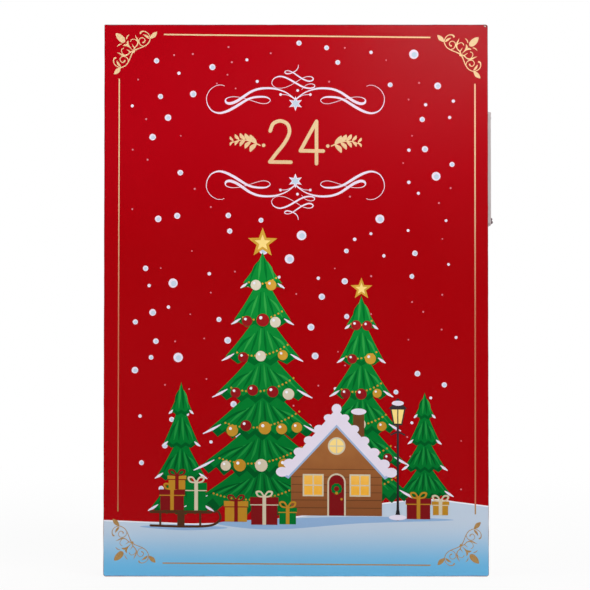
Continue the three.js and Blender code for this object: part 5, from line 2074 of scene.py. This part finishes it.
@dataclass
class Power:
    """The battery tray in the right side with its door, cells, contacts and switch."""

    face_inset: float = 0.5
    grip_height: float = 1.7
    rib_pitch: float = 1.6
    rib_count: int = 5
    cap_height: float = 2.75
    worn_lobe: float = 0.35
    cell_gap: float = 7.4
    spring_turns: int = 4
    spring_steps: int = 96
    spring_wire: float = 0.38

    # Radii and heights of a cell's can and of its sleeve, from its flat end.
    can: tuple[Point, ...] = (
        (0.0, 0.15), (4.2, 0.15), (4.6, 0.0), (6.3, 0.0), (6.7, 0.4), (6.7, 48.6), (6.2, 49.0), (3.3, 49.1),
        (2.75, 49.5), (2.75, 50.2), (2.4, 50.5), (0.0, 50.5),
    )
    skin: tuple[Point, ...] = (
        (0.0, 0.35), (6.9, 0.35), (7.25, 0.8), (7.25, 48.1), (6.9, 48.75), (0.0, 48.75),
    )

    def door(self) -> None:
        """The door: a thin plate with a grip across its head and ribs for the thumb."""
        low, high = cad_box("battery_door")
        face = high[0] - self.face_inset
        door = Draft().block(low, (face, high[1], high[2]))
        door.block((face - 0.3, low[1], high[2] - self.grip_height), high)
        # Each rib is shorter than the last one.
        for k in range(self.rib_count):
            z, half = high[2] - 6.0 - k * self.rib_pitch, 6.0 - 0.5 * k
            door.block((face - 0.2, -half, z - 0.4), (face + 0.32, half, z + 0.4))
        stand_in("battery_door", "battery_door_ribbed", door, PALE_ABS, 0.18)

    def cell(self, number: int, sleeve: Finish) -> None:
        """One cell with its steel ends and its plain sleeve.

        Args:
            number: 1 with its nub upwards, or 2 with its nub downwards.
            sleeve: The sleeve's finish.
        """
        node = f"battery_cell_{number}"
        low, high = cad_box(node)
        foot, way = (low[2], Way.UP) if number == 1 else (high[2], Way.DOWN)
        at = ((low[0] + high[0]) / 2, (low[1] + high[1]) / 2, foot)
        cell = Draft().turned(self.can, at, way, 40).coated(1).turned(self.skin, at, way, 40)
        stand_in(node, f"{node}_dressed", cell, (STEEL, sleeve))

    def contacts(self) -> None:
        """The bridge with its two coned springs below, and two flat contacts above."""
        low, high = cad_box("battery_contact_bridge")
        middle = (low[0] + high[0]) / 2
        bridge = Draft().block(low, (high[0], high[1], low[2] + 0.4))
        for y in (-self.cell_gap, self.cell_gap):
            path = []
            for t in (k / self.spring_steps for k in range(self.spring_steps + 1)):
                angle, r = 2 * math.pi * self.spring_turns * t, 3.6 - 1.8 * t
                z = low[2] + 0.7 + t * (high[2] - low[2] - 1.1)
                path.append((middle + r * math.cos(angle), y + r * math.sin(angle), z))
            bridge.tube(path, self.spring_wire)
        stand_in("battery_contact_bridge", "battery_contact_springs", bridge, STEEL)
        top = cad_box("battery_cell_1")[1][2]
        flats = Draft()
        for y in (-self.cell_gap, self.cell_gap):
            flats.block((middle - 4.5, y - 4.0, top + 0.05), (middle + 4.5, y + 4.0, top + 0.25))
        add_piece("battery_contact_flats", flats, STEEL)

    def knob(self) -> None:
        """The switch's knob: two ridged lobes on a stem, the upper one a little worn."""
        low, high = cad_box("switch_knob")
        foot, head, top, base = low[2], high[2], high[0], high[0] - self.cap_height
        middle, half = (foot + head) / 2, (head - foot) / 4
        profile = [(base, foot)]
        for lobe, crown in ((foot + half, top), (head - half, top - self.worn_lobe)):
            turns = [math.pi * k / 10 for k in range(11)]
            profile += [(crown - 0.9 + 0.9 * math.sin(a), lobe - half * math.cos(a)) for a in turns]
        profile.append((base, head))
        knob = Draft().plate([profile], low[1], high[1])
        knob.block((low[0], -1.2, middle - 0.8), (base + 0.05, 1.2, middle + 0.8))
        stand_in("switch_knob", "switch_knob_ridged", knob, DARK_ABS, 0.12)

    def build(self) -> None:
        """Builds the tray and what it holds."""
        softened("battery_tray", PALE_ABS, 0.35)
        softened("switch_body", DARK_ABS, 0.2)
        self.door()
        self.cell(1, CELL_SLEEVE)
        self.cell(2, CELL_SLEEVE_TURNED)
        self.contacts()
        self.knob()


@dataclass
class Hinge:
    """A brass butt hinge: two leaves with turned knuckles, a pin and four countersunk screws."""

    name: str
    middle: float
    axis: Point = (-137.8, -24.6)
    height: float = 30.0
    barrel: float = 2.0
    bore: float = 0.9
    leaf_width: float = 14.0
    leaf_radius: float = 1.2
    thickness: float = 0.6
    gap: float = 0.3
    screw_offset: float = 9.0
    screw_rise: float = 9.0
    screw_radius: float = 2.3
    screw_proud: float = 0.14

    def third(self, number: int, trim: float) -> Point:
        """The foot and the head of one third of the height, drawn in by a trim at the other thirds."""
        foot = self.middle - self.height / 2 + number * self.height / 3
        return foot + (trim if number > 0 else 0.0), foot + self.height / 3 - (trim if number < 2 else 0.0)

    def leaf_outline(self, own: tuple[int, ...]) -> Loop:
        """A leaf's outline by the distance from the pin, cut away round the other leaf's knuckles."""
        points: Loop = []
        for number in range(3):
            inner, trim = (0.6, self.gap / 2) if number in own else (self.barrel + 0.35, -self.gap)
            points += [(inner, z) for z in self.third(number, trim)]
        r, wide, half = self.leaf_radius, self.leaf_width, self.height / 2
        points += arc(wide - r, self.middle + half - r, r, 90, 0)
        return points + arc(wide - r, self.middle - half + r, r, 0, -90)

    def leaf(
        self, side: str, own: tuple[int, ...], facing: Facing, face: float, back: float,
        place: Callable[[float], float],
    ) -> None:
        """Builds one leaf with its knuckles and its two screws.

        Args:
            side: case or cover.
            own: The thirds of the height whose knuckles are its own.
            facing: Which way its screws look.
            face: Where its outer face is.
            back: Where its other face is.
            place: Turns a distance from the pin into the outline's place across.
        """
        node = f"{self.name}_{side}_leaf"
        outline = [(place(u), z) for u, z in self.leaf_outline(own)]
        spots = [(place(self.screw_offset), self.middle + z) for z in (-self.screw_rise, self.screw_rise)]
        holes = [disc(x, z, 1.3, 20) for x, z in spots]
        draft = Draft().plate([outline], face, back, holes, facing)
        r = self.barrel
        for foot, head in (self.third(number, self.gap / 2) for number in own):
            knuckle = [(r - 0.2, foot), (r, foot + 0.2), (r, head - 0.2), (r - 0.2, head)]
            draft.turned([(self.bore, foot), *knuckle, (self.bore, head)], (*self.axis, 0.0))
        stand_in(node, f"{node}_dressed", draft, BRASS)
        out = math.copysign(self.screw_proud, face - back)
        heads = Draft()
        for x, z in spots:
            cross = [band(x, z, 1.3, 0.25), band(x, z, 0.25, 1.3)]
            rim, core = disc(x, z, self.screw_radius, 28), disc(x, z, self.screw_radius - 0.05, 28)
            heads.plate([rim], face + out, face + 0.2 * out, cross, facing)
            heads.plate([core], face + 0.3 * out, face - 0.2 * out, facing=facing)
        add_piece(f"{node}_screws", heads, BRASS, BODY_OF[node])

    def build(self) -> None:
        """Builds the hinge."""
        x, y = self.axis
        outer = self.barrel - self.thickness
        self.leaf("case", (0, 2), Facing.LEFT, x + outer, x + self.barrel, lambda u: -(y + u))
        self.leaf("cover", (1,), Facing.BACK, y - outer, y - self.barrel, lambda u: -(x + u))
        low, high = self.middle - self.height / 2, self.middle + self.height / 2
        pin = [(0.0, low), (0.55, low), (0.8, low + 0.25), (0.8, high - 0.25), (0.55, high), (0.0, high)]
        node = f"{self.name}_pin"
        stand_in(node, f"{node}_dressed", Draft().turned(pin, (x, y, 0.0), sides=20), STEEL)


@dataclass
class Catch:
    """The two steel magnets that hold the cover shut."""

    def build(self) -> None:
        """Dresses both magnets."""
        softened("case_magnet", STEEL, 0.25)
        softened("cover_magnet", STEEL, 0.25)


# The studio


@dataclass
class Studio:
    """The camera, the lights, the world and the floor."""

    camera_place: Spot = (-0.000793, -1.5327, 0.16885)
    pitch: float = 1.3755
    lens: float = 125.75
    world_level: float = 0.42
    dark_side: float = 0.02
    floor_reach: float = 6.0

    # Each lamp's name, place and size in metres, and power in watts.
    lamps: tuple[tuple[str, Spot, float, float], ...] = (
        ("key_lamp", (0.95, -1.7, 1.75), 1.3, 33.0), ("sheen_lamp", (0.25, -1.75, 0.72), 0.15, 1.0),
        ("fill_lamp", (-2.1, -1.2, 0.9), 1.4, 27.0), ("back_lamp", (0.4, 1.9, 1.6), 1.4, 18.0),
    )

    def camera(self) -> None:
        """Stands the camera where the photograph was taken."""
        data = bpy.data.cameras.new("camera")
        data.lens = self.lens
        data.sensor_width = 36.0
        data.clip_start, data.clip_end = 0.05, 50.0
        camera = bpy.data.objects.new("camera", data)
        camera.location = self.camera_place
        camera.rotation_euler = (math.radians(90 + self.pitch), 0.0, 0.0)
        bpy.context.scene.collection.objects.link(camera)
        bpy.context.scene.camera = camera

    def world(self) -> None:
        """A white studio that lights softly, and is darker behind the camera."""
        world = bpy.data.worlds.new("studio")
        world.use_nodes = True
        bpy.context.scene.world = world
        tree = world.node_tree
        rays = add_node(tree, "LightPath", {}).node.outputs
        way = add_node(tree, "SeparateXYZ", {0: add_node(tree, "TexCoord", {}, "Generated")}, "Y")
        fade = {"Value": way, "From Min": -0.85, "From Max": 0.1, "To Min": self.dark_side, "To Max": 1.0}
        backdrop = add_node(tree, "MapRange", fade)
        kinds = {0: rays["Is Glossy Ray"], 1: rays["Is Transmission Ray"]}
        glossy = add_node(tree, "Math", kinds, operation="MAXIMUM")
        dim = add_node(tree, "Math", {0: backdrop, 1: self.world_level}, operation="MULTIPLY")
        level = add_node(tree, "Mix", {0: glossy, 2: dim, 3: backdrop}, data_type="FLOAT")
        seen = add_node(tree, "Mix", {0: rays["Is Camera Ray"], 2: level, 3: 1.0}, data_type="FLOAT")
        background = tree.nodes["Background"]
        plug(tree, background.inputs["Color"], "#ffffff")
        plug(tree, background.inputs["Strength"], seen)

    def lamp(self, name: str, place: Spot, size: float, power: float) -> None:
        """A soft square lamp that looks at the calendar.

        Args:
            name: The lamp's name.
            place: Where it hangs, in metres.
            size: Its width and height, in metres.
            power: Its power in watts.
        """
        data = bpy.data.lights.new(name, "AREA")
        data.shape = "RECTANGLE"
        data.size, data.size_y = size, size
        data.energy = power
        lamp = bpy.data.objects.new(name, data)
        lamp.location = place
        aim = Vector((0.0, 0.0, 0.2)) - Vector(place)
        lamp.rotation_euler = aim.to_track_quat("-Z", "Y").to_euler()
        lamp.visible_camera = False
        bpy.context.scene.collection.objects.link(lamp)

    def floor(self) -> None:
        """A plain pale floor that keeps the calendar's shadow and fades into the white around it."""
        material = bpy.data.materials.new("paper_floor_seamless")
        material.use_nodes = True
        tree = material.node_tree
        place = add_node(tree, "NewGeometry", {}, "Position")
        away = add_node(tree, "VectorMath", {0: place}, "Value", operation="LENGTH")
        # The shadow is kept within 0.2 m, and beyond 1.3 m the floor is as white as the world.
        fade = {"Value": away, "From Min": 0.2, "From Max": 1.3, "To Min": 0.92, "To Max": 1.0}
        far = add_node(tree, "MapRange", fade, interpolation_type="SMOOTHSTEP")
        rays = add_node(tree, "LightPath", {}).node.outputs
        direct = {0: rays["Is Camera Ray"], 1: rays["Is Transmission Ray"]}
        seen = add_node(tree, "Math", direct, operation="MAXIMUM")
        share = add_node(tree, "Math", {0: far, 1: seen}, operation="MULTIPLY")
        share = add_node(tree, "Math", {0: share, 1: rays["Is Glossy Ray"]}, operation="MAXIMUM")
        depth = add_node(tree, "SeparateXYZ", {0: place}, "Y")
        fade = {"Value": depth, "From Min": -0.6, "From Max": 0.1, "To Min": self.dark_side, "To Max": 1.0}
        level = {0: rays["Is Glossy Ray"], 2: 1.0, 3: add_node(tree, "MapRange", fade)}
        bright = add_node(tree, "Mix", level, data_type="FLOAT")
        paper = add_node(tree, "BsdfDiffuse", {"Color": "#e6e6e6"})
        glow = add_node(tree, "Emission", {"Color": "#ffffff", "Strength": bright})
        mix = add_node(tree, "MixShader", {0: share, 1: paper, 2: glow})
        tree.nodes.remove(tree.nodes["Principled BSDF"])
        plug(tree, tree.nodes["Material Output"].inputs["Surface"], mix)
        reach = self.floor_reach
        mesh = bpy.data.meshes.new("floor")
        corners = [(x, y, 0.0) for x, y in rectangle(-reach, -reach, reach, reach)]
        mesh.from_pydata(corners, [], [(0, 1, 2, 3)])
        mesh.materials.append(material)
        floor = bpy.data.objects.new("floor", mesh)
        bpy.context.scene.collection.objects.link(floor)

    def build(self) -> None:
        """Sets up the whole studio."""
        self.camera()
        self.world()
        self.floor()
        for lamp in self.lamps:
            self.lamp(*lamp)
        bpy.context.scene.view_settings.view_transform = "Standard"


def main() -> None:
    """Builds the calendar's sub-assemblies in order, and the studio round them."""
    logging.basicConfig(level=logging.INFO, format="%(name)s: %(message)s")
    Studio().build()
    cover = Cover()
    cover.build()
    for kind in (Border, Flourish, Title, Snowfall, SnowGround, WinterPicture):
        kind(cover).build()
    Case().build()
    Rack().build()
    for number in range(1, 25):
        Drawer(number).build()
    scene = LitScene()
    scene.build()
    LampString(scene).build()
    Power().build()
    Hinge("hinge_upper", 340.5).build()
    Hinge("hinge_lower", 62.5).build()
    Catch().build()


if __name__ == "__main__":
    main()
